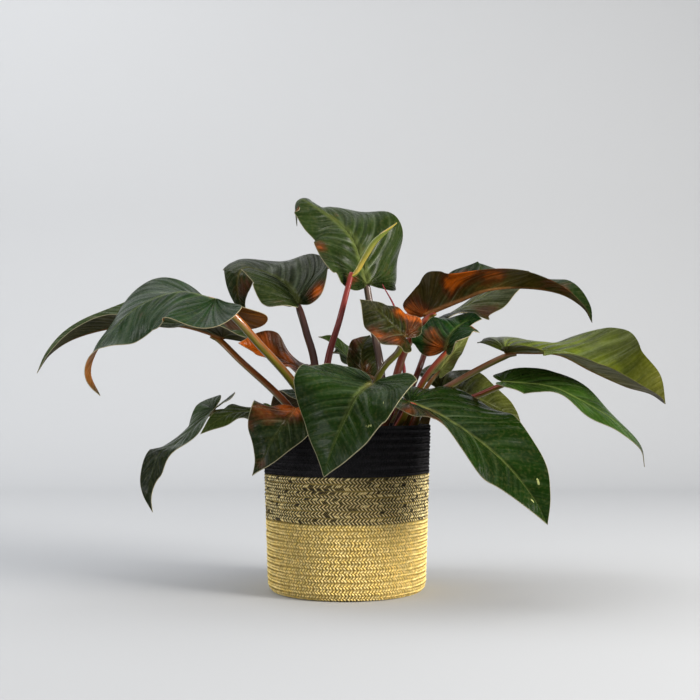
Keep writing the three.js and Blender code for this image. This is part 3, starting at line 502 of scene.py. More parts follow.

# %% [markdown]
# ## Where every leaf is
# Each leaf is described as a grower would: where its stalk leaves the soil, how it bends, how its
# midrib runs, how wide each half is, and how each half folds up and curls over on the way from stalk
# to tip. These are the same numbers as in the solids, so each fine blade lies on its plain one. A
# second list gives each leaf's colours: upper side, under side, and the stalk at the soil and at the
# blade. A third list says where the glow of warm lamps among the leaves is painted on the blades as
# copper patches: painted light. The last ones give tips of another colour, with painted shade on
# low_left's turned-away end, leaves whose midrib or margin differs from the rest, and dry scars.

# %% Leaf shapes
# A leaf has its stalk's root, bends and radius below and above; its midrib and the way up from it;
# its half width and each half's share of that; the roll, each half's fold, curl and lobe lift in
# degrees; and how far its lobes reach back, as a share of the usual.
Leaf = namedtuple("Leaf", "root bend thick rib up half wide roll fold curl lift lobe", defaults=[(0, 0), 1])
LEAVES = {
    "far_left": Leaf([-47, 3], [[-78, 26, 233], [-142, 50, 292]], [5.2, 4.2], [[-167, 61, 322],
        [-214, 52, 336], [-260, 42, 339], [-309, 38, 334], [-357, 33, 320], [-387, 26, 299],
        [-404, 25, 274]], [0, -0.1, 1], 51, [1.04, 1.03], [-3, -8, -8], [[30, 22, 43, 8], [34, 48, 39, 27]],
        [[-20, -25, -6, -22], [-15, -8, -9, -18]]),
    "left": Leaf([-17, 41], [[-66, -4, 258], [-109, -57, 309], [-134, -80, 338]], [6, 4.8],
        [[-157, -87, 362], [-202, -79, 371], [-248, -75, 356], [-281, -81, 326], [-300, -88, 299],
        [-306, -95, 271], [-295, -91, 244]], [0, -0.3, 1], 77, [1.14, 1.25], [2, -16, 22],
        [[-20, -6, 1, 43], [-47, -15, -2, 8]], [[10, 9, -33, -11], [12, 9, -22, -20]], lift=[54, 41]),
    "upper_left": Leaf([-39, -20], [[-40, -11, 277], [-52, 0, 326]], [5.5, 4.6], [[-62, 5, 363],
        [-76, 26, 386], [-95, 39, 401], [-119, 52, 412], [-136, 52, 415], [-144, 49, 405], [-146, 56, 387],
        [-143, 62, 369], [-134, 65, 349]], [0.2, -1, 0.5], 60, [1.01, 1.13], [0, 18, 5], [[39, 27, 12, 9],
        [50, 16, 0, -8]], [[-42, -15, -18, -19], [4, -7, -25, -22]], lift=[56, 23]),
    "top": Leaf([52, 21], [[44, 17, 278], [37, 26, 321]], [5.6, 4.6], [[26, 19, 390], [21, 21, 411],
        [8, 19, 448], [-13, 24, 472], [-34, 20, 487], [-51, 20, 498], [-61, 22, 502], [-68, 26, 494],
        [-66, 32, 468]], [0, -1, 0.35], 65, [1.01, 1.26], [22, 17, 21], [[33, 21, 11, 14],
        [9, 10, -43, -19]], [[-6, -9, -19, -18], [-72, -29, -45, -36]], lift=[14, 1], lobe=0.35),
    "upper_right": Leaf([42, -7], [[72, 10, 296]], [5.6, 4.8], [[102, 22, 349], [145, 2, 366],
        [181, -12, 379], [230, 0, 383], [271, -16, 374], [299, -19, 356], [311, -17, 337]], [0, 0.1, 1], 58,
        [1.25, 0.91], [-17, 1, 33], [[49, 59, 44, 76], [96, 27, 30, 29]], [[5, 6, -29, -12],
        [-12, -40, -17, -24]], lift=[4, 36]),
    "back_right": Leaf([53, 3], [[93, 31, 276], [107, 49, 312]], [4.6, 3.6], [[122, 64, 348],
        [159, 92, 366], [189, 96, 383], [223, 95, 398], [265, 98, 401], [295, 98, 390]], [0, 0.7, 0.7], 50,
        [1, 1.13], [11, 30, -2], [[11, 18, 11, 9], [-20, -23, -14, 2]], [[-17, -13, -17, -19],
        [-26, -34, -34, -26]], lift=[0, -6]),
    "centre": Leaf([13, 27], [[39, -19, 267], [64, -36, 299]], [5, 4], [[73, -45, 317], [58, -49, 331],
        [39, -54, 349], [16, -46, 364]], [0, -0.7, 0.7], 40, [1.14, 0.97], [5, 1, 0], [[24, 15, -12, 0],
        [20, 0, -7, -2]], [[-4, -10, -26, -22], [-18, -26, -26, -24]], lift=[0, -3]),
    "inner_right": Leaf([65, -4], [[94, -20, 258]], [4.8, 4], [[125, -26, 303], [129, -22, 317],
        [139, -15, 330], [154, -4, 340], [172, -13, 342]], [-0.4, -0.7, 0.5], 40, [1.13, 1.01], [-10, 1, 1],
        [[24, 17, 4, 10], [34, 19, 0, 7]], [[-4, -11, -20, -20], [-2, -10, -22, -20]], lift=[0, 1]),
    "right": Leaf([76, -3], [[99, -20, 237], [126, -29, 255], [166, -33, 278]], [4.8, 3.8],
        [[198, -42, 298], [229, -36, 298], [266, -39, 295], [305, -39, 275], [344, -48, 256],
        [376, -43, 247], [401, -22, 234]], [0, -0.2, 1], 79, [1.37, 1.01], [-2, 6, 27], [[18, 18, 64, 63],
        [20, 21, 36, 18]], [[-26, -24, -13, -1], [-20, -20, -12, -18]], lobe=0.45),
    "lower_right": Leaf([58, -14], [[93, -42, 242], [124, -44, 238], [155, -41, 242]], [4.4, 3.4],
        [[191, -63, 261], [218, -64, 259], [241, -72, 256], [264, -78, 248], [310, -86, 222],
        [335, -89, 201], [352, -89, 181], [357, -85, 159]], [0, -0.4, 0.9], 40, [0.94, 1.07], [-3, -2, -6],
        [[6, 19, -2, -4], [15, 19, 5, 10]], [[-15, -8, -20, -23], [-17, -14, -20, -19]], lobe=0.3),
    "low_back_right": Leaf([62, 13], [[102, 29, 239]], [4.4, 3.6], [[122, 32, 252], [156, 52, 248],
        [196, 78, 232], [220, 82, 218], [237, 79, 199]], [0, -0.6, 0.8], 50, [1.18, 1], [0, 11, 4],
        [[21, 16, 24, 22], [8, 8, 8, 8]], [[-42, -29, -11, -16], [-20, -20, -20, -20]], lift=[8, 0]),
    "front_right": Leaf([49, -23], [[70, -69, 220]], [4.6, 4], [[75, -99, 236], [110, -111, 221],
        [154, -136, 191], [187, -145, 161], [213, -157, 126], [229, -148, 97]], [0.3, -0.8, 0.5], 68,
        [1.21, 1.03], [-20, -12, 9], [[3, 11, 17, 33], [24, 32, 13, 24]], [[-26, -22, -24, -15],
        [-10, -4, -19, -16]], lift=[-2, 0]),
    "front": Leaf([0, 29], [[31, -69, 233]], [5.2, 4.4], [[30, -117, 259], [13, -139, 245], [2, -143, 225],
        [-10, -147, 199], [-19, -148, 176], [-26, -141, 150]], [0, -0.9, 0.45], 70, [0.99, 1.13],
        [14, 12, 16], [[28, 29, 23, 15], [-4, 14, -8, -12]], [[-7, -3, -13, -16], [-4, -6, -18, -22]],
        lift=[0, -15]),
    "front_left": Leaf([-23, -12], [[-50, -74, 220]], [4.4, 3.8], [[-61, -91, 230], [-69, -106, 218],
        [-87, -117, 192], [-99, -114, 169], [-111, -109, 150]], [0, -0.9, 0.45], 41, [0.8, 1.12],
        [-2, -10, 21], [[12, 14, 13, 11], [-24, 14, -15, -22]], [[-16, -14, -18, -18], [-23, -9, -17, -26]],
        lift=[-3, -4], lobe=0.3),
    "low_left": Leaf([-54, -8], [[-72, -15, 216], [-122, -17, 225]], [4.2, 3.2], [[-168, -16, 227],
        [-187, -32, 209], [-211, -48, 185], [-228, -61, 174], [-238, -59, 148], [-241, -63, 124],
        [-237, -57, 102]], [0, -0.2, 1], 38, [0.99, 1.04], [9, 3, -5], [[23, 20, 6, 14], [11, -8, 16, 19]],
        [[-7, -9, -22, -18], [-16, -30, -19, -19]], lift=[0, -1]),
    "low_left_inner": Leaf([-51, -19], [[-70, -54, 215]], [4, 3], [[-99, -61, 222], [-118, -66, 225],
        [-139, -78, 223], [-158, -85, 213], [-176, -82, 198]], [0, -0.4, 0.9], 27, [1.02, 1.01], [0, 4, -9],
        [[9, 12, 1, 0], [10, 4, 9, 14]], [[-19, -17, -20, -22], [-19, -23, -22, -20]]),
    "mid_left": Leaf([-27, 3], [[-40, 17, 250]], [4.2, 3], [[-57, 27, 277], [-77, 30, 289], [-100, 26, 300],
        [-121, 25, 308], [-141, 15, 313]], [0, -0.6, 0.8], 40, [0.99, 1.2], [14, 3, -6], [[22, 25, 26, 10],
        [2, -2, 38, 16]], [[-8, -7, -9, -15], [-28, -31, -6, -14]]),
    "young_right": Leaf([70, 6], [[99, 5, 249]], [3.4, 2.6], [[121, 5, 279], [136, 9, 298], [150, 14, 314],
        [161, 17, 327]], [0, -0.9, 0.3], 11, [0.94, 1.04], [-2, -3, 0], [[0, 0, 6, 7], [7, 7, 7, 8]],
        [[-28, -27, -23, -21], [-20, -20, -20, -20]]),
    "back_left": Leaf([9, 42], [[20, 57, 259]], [4, 2.8], [[9, 64, 287], [-3, 85, 302], [-21, 90, 318],
        [-39, 81, 325]], [0, 0.6, 0.8], 26, [1.01, 1.05], [-4, -14, -6], [[0, 6, 7, 8], [11, 20, 29, 20]],
        [[-26, -22, -21, -20], [-17, -12, -10, -15]]),
    "back_arch": Leaf([25, 35], [[38, 48, 255]], [4.4, 3.4], [[23, 50, 274], [20, 50, 292], [21, 53, 310],
        [31, 76, 327]], [0, -0.9, -0.2], 25, [0.94, 1.09], [23, 6, -3], [[24, 23, 18, 11],
        [-5, -2, 24, 14]], [[-8, -9, -14, -17], [-35, -32, -14, -18]]),
    "rear_left": Leaf([-3, 50], [[-20, 63, 251]], [5.2, 4.4], [[-30, 79, 245], [-48, 114, 250],
        [-62, 154, 225], [-68, 179, 175], [-70, 184, 120]], [0, 0, 1], 56, [1, 1], [0, 0, 0], [[8, 8, 8, 8],
        [8, 8, 8, 8]], [[-20, -20, -20, -20], [-20, -20, -20, -20]]),
    "rear_right": Leaf([18, 51], [[36, 76, 245]], [5.2, 4.4], [[45, 99, 235], [62, 134, 240],
        [72, 169, 215], [76, 189, 165], [76, 194, 105]], [0, 0, 1], 56, [1, 1], [0, 0, 0], [[8, 8, 8, 8],
        [8, 8, 8, 8]], [[-20, -20, -20, -20], [-20, -20, -20, -20]]),
}
# name: upper side, under side, stalk at the soil, stalk at the blade
COLOURS = {
    # The orange blade ends of the far_left and left stalks are painted glow of warm lamps.
    "far_left": "#4c5f32 #3c381c #6e3418 #ac7630",
    "left": "#1c3e14 #7c4a18 #5c5420 #a06426",
    "upper_left": "#2e3c14 #5c5426 #44201e #523a30",
    "top": "#33461a #6a4420 #5c524a #6c645a",
    "upper_right": "#24380f #483a14 #6a3f22 #8a3a1c",
    "back_right": "#525a20 #5a2a1a #5a2c20 #7a3a24",
    "centre": "#2e2c0a #6a3a16 #4a461a #625620",
    "inner_right": "#1f4a1a #8a4418 #7c2016 #8c3c18",
    "right": "#748420 #70703a #7c4e34 #8c6c40",
    "lower_right": "#3a5c1c #4a3d1c #7a241c #93452a",
    "low_back_right": "#5c6222 #5c5c28 #7a2a20 #94402a",
    "front_right": "#183404 #4a3f1a #7d241c #9a3c22",
    "front": "#24400f #58654c #8a2c20 #6f7a34",
    "front_left": "#1f2e0e #5c3a1c #8a2c20 #a04a20",
    "low_left": "#4e6440 #1f2c14 #5a4420 #4c5a2c",
    "low_left_inner": "#4a5a22 #3a2c18 #5a3a20 #5c5224",
    "mid_left": "#7a4408 #c0640e #64301c #b06a20",
    "young_right": "#9aa458 #7a6a34 #8c3a2c #9a7a3c",
    "back_left": "#4f6a2a #5a5026 #74402c #7c7a40",
    "back_arch": "#3c4216 #4c3a1c #5c3a20 #6a5424",
    "rear_left": "#18340f #453018 #7a2a22 #8c3c2c",
    "rear_right": "#18340f #463016 #7c2a22 #8a3a2a",
}
# name: patches of painted glow on its blade, laid on as copper, each (x, z, radius, strength) with sizes in
# millimetres
GLOW_PATCHES = {
    "mid_left": [(-129, 312, 22, 1.2), (-111, 307, 16, 1.1), (-77, 291, 23, 1.1), (-100, 328, 13, 0.45)],
    "upper_left": [(-32, 380, 12, 0.9), (-44, 372, 12, 0.8), (-141, 400, 20, 0.4), (-136, 380, 16, 0.4)],
    "top": [(7, 393, 10, 0.9), (-35, 435, 9, 0.7), (-27, 419, 8, 0.5), (-14, 485, 9, 0.35)],
    "upper_right": [(133, 392, 13, 1.3), (153, 398, 12, 1.1), (176, 395, 12, 0.8), (194, 395, 9, 0.7),
        (255, 388, 12, 0.7), (276, 379, 10, 0.6), (91, 360, 18, 1), (75, 352, 10, 1),
        (104, 349, 10, 0.9), (135, 375, 10, 0.5)],
    "centre": [(39, 315, 11, 0.7), (61, 311, 12, 0.8), (80, 325, 11, 0.7), (66, 352, 9, 0.9),
        (80, 346, 11, 1.2), (95, 341, 10, 1.1), (29, 320, 8, 0.5)],
    "inner_right": [(109, 327, 9, 0.6), (116, 308, 12, 1), (98, 320, 10, 0.5), (105, 295, 9, 0.7)],
    "front_left": [(-99, 229, 13, 0.7), (-76, 231, 12, 1), (-57, 229, 12, 1.1), (-115, 212, 9, 0.4),
        (-99, 162, 12, 0.5), (-90, 216, 9, 0.4)],
    "back_arch": [(13, 322, 13, 0.8), (7, 303, 12, 0.5), (24, 279, 12, 0.6)],
    "back_right": [(198, 358, 16, 0.45), (176, 352, 14, 0.45), (217, 387, 13, 0.4)],
    "young_right": [(136, 288, 10, 0.5)],
    "front_right": [(70, 226, 10, 0.7), (96, 220, 12, 0.6)],
    "front": [(29, 257, 9, 0.35)],
    "right": [(365, 308, 20, 0.1), (384, 266, 15, 0.15)],
}
# name: (where along the blade its colour starts to change and has changed, upper and under side there)
TIPS = {
    "left": (0.9, 0.98, "#1c3e14", "#383024"),
    # low_left's dark end is painted shade, where its blade turns away from the light.
    "low_left": (0.46, 0.54, "#222b16", "#222b16"),
    "lower_right": (0.8, 0.92, "#2e3828", "#2e3828"),
    "right": (0.4, 0.95, "#66641a", "#3e3018"),
    "mid_left": (0.93, 1, "#3a2410", "#3a2410"),
}
# Midribs with a third of the usual strength, lighter ones, and how much wider some are than the rest
DULL_RIB = {"centre", "front_left", "back_arch", "mid_left", "low_left", "rear_left", "rear_right"}
BRIGHT_RIB = {"front_right", "lower_right"}
RIB_SPREAD = {"top": 2.0, "front": 1.4, "upper_left": 1.5}
# Margins with a broad pale seam, and without one
PALE_RIM, BARE_RIM = {"front", "front_left"}, {"right", "upper_right"}
# name: small dry scars on its blade, each a line (x, z, x, z, how much thinner) in millimetres
SCARS = {
    "front": [(22.2, 209.4, 27.4, 210.8, 0), (40.5, 239.5, 43.5, 230.5, 0.4)],
    "front_right": [(180.5, 154, 184, 152, 1.1),
        (217.4, 149, 218.4, 143.5, 0), (207, 128.5, 212, 123.5, 0.7)],
}
print("leaves:", len(LEAVES), "widest half", max(leaf.half for leaf in LEAVES.values()), "mm")

# %% [markdown]
# ## A blade as a function
# A blade is a sheet on a grid. One direction walks round the margin, from the notch beside the stalk,
# round the lobe and up to the tip; the other goes from the midrib out to the margin, slanting towards
# the tip, because that is how the side veins run. So every vein is a line of the grid, and a groove
# at each vein is no more than a sine of the row number. The sheet then gets a thickness: an upper and
# an under skin with a closed rim, and a midrib that stands proud of the under side.

# %% Blade sheet
OUTLINE = np.array([[0.04, -0.03], [0.22, -0.12], [0.52, -0.17], [0.82, -0.08], [1, 0.11],
                    [0.95, 0.32], [0.74, 0.54], [0.45, 0.74], [0.16, 0.9], [0, 1]])
MARGIN_WAVE, MARGIN_WAVES, VEIN_LAG, LOBE_REACH = 4, 2.5, 0.34, 0.22
RIB_TAPER, RIB_OUT, RIB_CHANNEL = 0.88, 0.55, 0.25
COLUMNS = np.r_[0, 0.012, 0.026, 0.042, 0.06, 0.085, 0.12, np.linspace(0.165, 0.955, 16), 0.978, 0.992, 1]


def blade_sheet(leaf, rows, veins):
    """Points of both halves as an array (half, row, column, xyz), and values for the material.

    With e the outline at the row, foot f = e_y - lag e_x on the midrib and v the column, a point is at
    y = f + v^1.15 (e_y - f) along the midrib and x = v e_x half out from it. Across, it rises as an
    arc: out sinc(b/2) (cos(a + b/2) sideways + sin(a + b/2) upward), with a the fold and b the curl so
    far. Behind the stalk, y < 0, the sheet runs back along an arc that lifts each lobe. Last come
    the wave of the margin and the pleats: height |sin(pi n)|^0.8, where n counts the veins along the
    margin's way s and is swayed by sines so that no two are evenly spaced. They ease off to the tip.
    """
    line, length = even_line(leaf.rib, 120)
    ahead, up = carried(line, leaf.up)
    edge = even_line(np.c_[OUTLINE[:, 0] / 2, OUTLINE[:, 1], np.zeros(len(OUTLINE))], rows + 1)[0]
    edge_x, edge_y = edge[:, 0] * 2, edge[:, 1]
    edge_y = np.where(edge_y < 0, edge_y * leaf.lobe, edge_y)
    foot = np.clip(edge_y - VEIN_LAG * edge_x, 0, 1)
    foot[-1] = 1
    v = COLUMNS[None, :]
    y = foot[:, None] + v**1.15 * (edge_y - foot)[:, None]
    s = np.broadcast_to(np.linspace(0, 1, rows + 1)[:, None], y.shape)
    halves = []
    for half, sign in ((0, -1), (1, 1)):
        t = np.clip(y, 0, 1)
        tangent, flat = unit(at_rows(ahead, t)), unit(at_rows(up, t))
        roll = np.radians(along(leaf.roll, t))[..., None]
        n = unit(flat * np.cos(roll) + np.cross(tangent, flat) * np.sin(roll))
        side = unit(np.cross(tangent, n))
        back = np.maximum(0, -y) * length
        arc = np.radians(leaf.lift[half]) / (LOBE_REACH * length) * back
        chord = (back * np.sinc(arc / 2 / np.pi))[..., None]
        p = at_rows(line, t) + chord * (n * np.sin(arc / 2)[..., None] - tangent * np.cos(arc / 2)[..., None])
        lifted = n * np.cos(arc)[..., None] + tangent * np.sin(arc)[..., None]
        out = v * edge_x[:, None] * leaf.half * leaf.wide[half]
        bend = np.radians(along(leaf.curl[half], t)) * out / leaf.half
        rise = np.radians(along(leaf.fold[half], t)) + bend / 2
        wave = MARGIN_WAVE * (out / leaf.half) ** 2 * np.sin(2 * np.pi * (MARGIN_WAVES * y + 0.35 * half))
        reach = out * np.sinc(bend / 2 / np.pi)
        p = p + sign * (reach * np.cos(rise))[..., None] * side
        p = p + (reach * np.sin(rise) + wave)[..., None] * lifted
        run = np.linalg.norm(np.diff(p, axis=1), axis=-1)
        rim = np.c_[run[:, ::-1].cumsum(1)[:, ::-1], np.zeros(rows + 1)]
        from_rib = np.hypot(out, back)
        turn = 6.3 * length + 2.1 * half
        vein = veins * (s + 0.014 * np.sin(19 * s + turn) + 0.007 * np.sin(47 * s + 2 * turn))
        pleat = (np.abs(np.sin(np.pi * vein)) ** 0.8 - 0.55) * (0.65 + 0.35 * np.sin(2.3 * vein + turn))
        ease = np.clip(1.6 - 1.7 * t, 0.15, 1.4)
        fade = np.clip(from_rib / 9, 0, 1) * np.clip(rim / 14, 0, 1) * ease
        show = (1 - v) ** 0.7 * np.clip(from_rib / 5, 0, 1) * np.where(foot > 0, 1, 0.3)[:, None] * ease
        halves.append(dict(p=p, along=t, rim=rim, from_rib=from_rib, vein=vein + 40 * half + np.round(length),
                           show=show, pleat=pleat * fade))
    return {key: np.stack([h[key] for h in halves]) for key in halves[0]}


# %% Blade shell
def welded(sheet):
    """Joins points that lie within 0.001 mm: along the midrib, where both halves meet, and at the tip."""
    shape = sheet["p"].shape
    flat = sheet["p"].reshape(-1, 3)
    cells = grid_faces(shape[1], shape[2])
    quads = np.vstack([cells, cells[:, ::-1] + shape[1] * shape[2]])
    faces = np.vstack([quads[:, [0, 1, 2]], quads[:, [0, 2, 3]]])
    _, first, index = np.unique(np.round(flat * 1000).astype(int), axis=0,
                                return_index=True, return_inverse=True)
    faces = index.ravel()[faces]
    a, b, c = faces.T
    return first, faces[(a != b) & (b != c) & (c != a)]


def blade_shell(sheet, rib_base, pleat_height, thickness):
    """Upper and under skins at + and - thickness / 2 along the sheet's normals, closed at the rim.

    The midrib's half width shrinks as w = base (1 - 0.88 y) and it stands out of the under side by
    0.55 w sqrt(1 - (d / w)^2), and the upper side has a shallow channel over it.
    """
    first, faces = welded(sheet)
    value = {key: sheet[key].reshape(-1, *sheet[key].shape[3:])[first] for key in sheet}
    p = value["p"]
    across = np.cross(p[faces[:, 1]] - p[faces[:, 0]], p[faces[:, 2]] - p[faces[:, 0]])
    normal = np.zeros_like(p)
    for corner in range(3):
        np.add.at(normal, faces[:, corner], across)
    normal = unit(normal)
    p = p + normal * (pleat_height * value["pleat"])[:, None]
    half_rib = rib_base * (1 - RIB_TAPER * value["along"])
    near = np.clip(value["from_rib"] / half_rib, 0, 1)
    bulge = np.sqrt(1 - near**2)
    upper = p + normal * (thickness / 2 - RIB_CHANNEL * half_rib * bulge * (1 - near))[:, None]
    under = p - normal * (thickness / 2 + RIB_OUT * half_rib * bulge)[:, None]
    count = len(p)
    edges = np.vstack([faces[:, [0, 1]], faces[:, [1, 2]], faces[:, [2, 0]]])
    known = edges[:, 0] * count + edges[:, 1]
    rim = edges[~np.isin(known, edges[:, 1] * count + edges[:, 0])]
    a, b = rim.T
    side = np.vstack([np.stack([b, a, a + count], -1), np.stack([b, a + count, b + count], -1)])
    value["rib"] = value["from_rib"] / half_rib
    twice = {key: np.concatenate([value[key], value[key]]) for key in value}
    twice["under"] = np.repeat([0.0, 1.0], count)
    return np.vstack([upper, under]), [faces, faces[:, ::-1] + count, side], twice

# %% [markdown]
# ## Leaf material
# The upper skin of the blade is a smooth waxy cuticle: IOR 1.45, roughness near 0.3, so it takes a
# broad soft highlight. The under side has less wax. The green is streaked along the side veins, by
# noise stretched along them, and the same noise makes the wax uneven. The glow of warm lamps among the
# leaves is painted on as copper: where the painted glow, broken up by noise, passes one level the skin
# turns brown, and past a second one orange. Some side veins show as faint pale lines, each with a
# strength drawn from its own number.
# The midrib is a soft band that is lost before the tip, the margin a thin pale seam, and a few dry
# scars are straw coloured. All these follow values stored at the blade's points, however it curls.
# Finest is the netting between the veins, 1.5 mm apart, only as bump.

# %% Leaf material
def leaf_material():
    """Colour layers over the stored tint, each with its share, then roughness and two bumps."""
    material, tree, shader = surface("waxy_leaf_skin", IOR=1.45, Coat_Weight=0.05, Coat_Roughness=0.14)
    place = add(tree, "TexCoord").outputs["Object"]
    painted_glow, scar, rib, rim, under = (add(tree, "Attribute", attribute_name=name).outputs["Fac"]
                                    for name in ("painted_glow", "scar", "rib", "rim", "under"))
    show, phase, _ = add(tree, "SeparateXYZ", {"Vector": add(tree, "UVMap", uv_map="veins")}).outputs
    patch = add(tree, "TexNoise", {"Vector": place, "Scale": 34, "Detail": 3})
    fleck = add(tree, "TexNoise", {"Vector": place, "Scale": 260, "Detail": 4})
    grain = add(tree, "CombineXYZ", {"X": add(tree, "Math", {0: phase, 1: 4}, operation="MULTIPLY"),
                                     "Y": add(tree, "Math", {0: show, 1: 1.6}, operation="MULTIPLY")})
    streak = add(tree, "TexNoise", {"Vector": grain, "Scale": 1, "Detail": 3})
    number = add(tree, "Math", {0: phase}, operation="ROUND")
    luck = add(tree, "TexWhiteNoise", {"W": number}, noise_dimensions="1D")
    off_vein = add(tree, "Math", {0: phase, 1: 0.5}, operation="PINGPONG")
    eighth = add(tree, "Math", {0: phase, 1: 8}, operation="MULTIPLY")
    off_fine = add(tree, "Math", {0: eighth, 1: 0.5}, operation="PINGPONG")
    # Painted glow of warm lamps: past one level the skin turns brown, past a second one orange.
    warm = add(tree, "Math", {0: streak, 1: 0.7, 2: painted_glow}, operation="MULTIPLY_ADD")
    heat = add(tree, "Math", {0: patch, 1: 1.3, 2: warm}, operation="MULTIPLY_ADD")
    dry = add(tree, "Math", {0: fleck, 1: 2, 2: scar}, operation="MULTIPLY_ADD")
    ramps = {}
    for name, *values in (
            ("shadow", patch, 0.32, 0.68, 0.45, 0), ("dark", streak, 0.36, 0.6, 0.35, 0),
            ("brown", heat, 1.2, 1.7, 0, 0.8), ("orange", heat, 1.7, 2.35, 0, 0.9),
            ("dots", fleck, 0.45, 0.75, 0, 0.05), ("scar", dry, 1.7, 2.7, 0.8, 0),
            ("band", off_vein, 0.02, 0.3, 0.06, 0), ("line", off_vein, 0.02, 0.09, 1, 0),
            ("luck", luck, 0.45, 0.98, 0.01, 0.1), ("rim", rim, 0.4, 1.2, 0.6, 0),
            ("swell", off_vein, 0, 0.4, 0, 1), ("fine", off_fine, 0, 0.2, 0, 1),
            ("wax", under, 0, 1, 0.24, 0.5), ("sheen", streak, 0.4, 0.66, 0.02, 0.12)):
        ramps[name] = add(tree, "MapRange", dict(enumerate(values)), interpolation_type="SMOOTHSTEP")
    lucky = add(tree, "Math", {0: ramps["luck"], 1: ramps["line"]}, operation="MULTIPLY")
    band = add(tree, "Math", {0: show, 1: ramps["band"]}, operation="MULTIPLY")
    line = add(tree, "Math", {0: show, 1: lucky}, operation="MULTIPLY")
    colour = add(tree, "Attribute", attribute_name="tint")
    for share, over in (
            (ramps["shadow"], rgba("#0c1407")), (ramps["dark"], rgba("#0a1605")),
            # Brown and orange: the painted glow of warm lamps.
            (ramps["brown"], rgba("#4a220c")), (ramps["orange"], rgba("#bc580c")),
            (ramps["dots"], rgba("#a8a060")), (ramps["scar"], rgba("#a4a86c")),
            (band, rgba("#7f9468")), (line, rgba("#a9b792")),
            (rib, add(tree, "Attribute", attribute_name="rib_tint")), (ramps["rim"], rgba("#a8a080"))):
        colour = add(tree, "MixRGB", {"Fac": share, "Color1": colour, "Color2": over})
    pleats = add(tree, "Math", {0: show, 1: ramps["swell"], 2: streak}, operation="MULTIPLY_ADD")
    relief = add(tree, "Bump", {"Height": pleats, "Strength": 0.65, "Distance": 0.003})
    net = add(tree, "TexVoronoi", {"Vector": place, "Scale": 640}, feature="DISTANCE_TO_EDGE")
    netting = add(tree, "Math", {0: ramps["fine"], 1: net}, operation="ADD")
    bump = add(tree, "Bump", {"Height": netting, "Normal": relief, "Strength": 0.22, "Distance": 0.0004})
    rough = add(tree, "Math", {0: fleck, 1: 0.08, 2: ramps["wax"]}, operation="MULTIPLY_ADD")
    feed(shader, {"Base Color": colour, "Roughness": rough, "Specular IOR Level": ramps["sheen"],
                  "Normal": bump})
    return material


leaf_skin = leaf_material()
TOP_SHADE, RIB_STRENGTH, DULL_STRENGTH = 0.62, 0.85, 0.3


def scar_distance(name, points):
    """Distance seen from the front to the nearest scar line a b, at most 20 mm: |p - a - f (b - a)|.

    Here f is (p - a) . (b - a) / |b - a|^2, held between 0 and 1. A thinner scar seems further off.
    """
    lines = np.array(SCARS.get(name, [(0, -99, 1, -99, 0)]), float)
    a, run = lines[:, :2], lines[:, 2:4] - lines[:, :2]
    apart = points[:, None, [0, 2]] - a
    f = np.clip((apart * run).sum(-1) / (run**2).sum(-1), 0, 1)[..., None]
    return np.minimum((np.linalg.norm(apart - f * run, axis=-1) + lines[:, 4]).min(1), 20)


def blade_tints(name, points, value):
    """At each point: the side's colour, the midrib's, the midrib's strength, and the painted glow.

    The midrib's band has the strength 0.85, or 0.3 if it is dull, times (1.02 - y)^0.8 and
    exp(-(d / 1.15 w)^4), with y the way to the tip, d the distance from the midrib and w its half
    width, which is spread on a few blades. The painted glow, lamp light laid on as copper, is the sum
    of the leaf's glow patches, each strength exp(-(distance / radius)^2) seen from the front.
    """
    top, under, _, _ = map(linear, COLOURS[name].split())
    below = value["under"]
    colour = blend(top * TOP_SHADE, under, below)
    # Towards the tip a blade may turn to another colour; on low_left that is painted shade.
    if name in TIPS:
        start, end, top_there, under_there = TIPS[name]
        there = blend(linear(top_there) * TOP_SHADE, linear(under_there), below)
        colour = colour + (there - colour) * np.clip((value["along"] - start) / (end - start), 0, 1)[:, None]
    # Painted glow of warm lamps, laid on the blade as copper patches.
    patches = np.array(GLOW_PATCHES.get(name, [(0, 0, 1, 0)]), float)
    apart = np.hypot(points[:, :1] - patches[:, 0], points[:, 2:] - patches[:, 1]) / patches[:, 2]
    painted_glow = np.clip((patches[:, 3] * np.exp(-apart**2)).sum(1), 0, 1.2)
    pale = linear("#98a05c") * (0.42 if name in BRIGHT_RIB else 0.26)
    rib_tint = blend(pale + top * 0.6, linear("#8a5a34"), below)
    # The midrib takes half the painted glow.
    rib_tint = blend(rib_tint, linear("#a06a3a"), 0.5 * painted_glow)
    off_rib = np.minimum(value["rib"] / (1.15 * RIB_SPREAD.get(name, 1)), 3)
    strength = DULL_STRENGTH if name in DULL_RIB else RIB_STRENGTH
    return colour, rib_tint, strength * (1.02 - value["along"]) ** 0.8 * np.exp(-off_rib**4), painted_glow

# %% [markdown]
# ## Blades
# Now each blade is made from its numbers. A wide blade gets more rows and more side veins than a
# narrow one. Its pleats are one or two millimetres high, about what a finger feels on such a leaf.

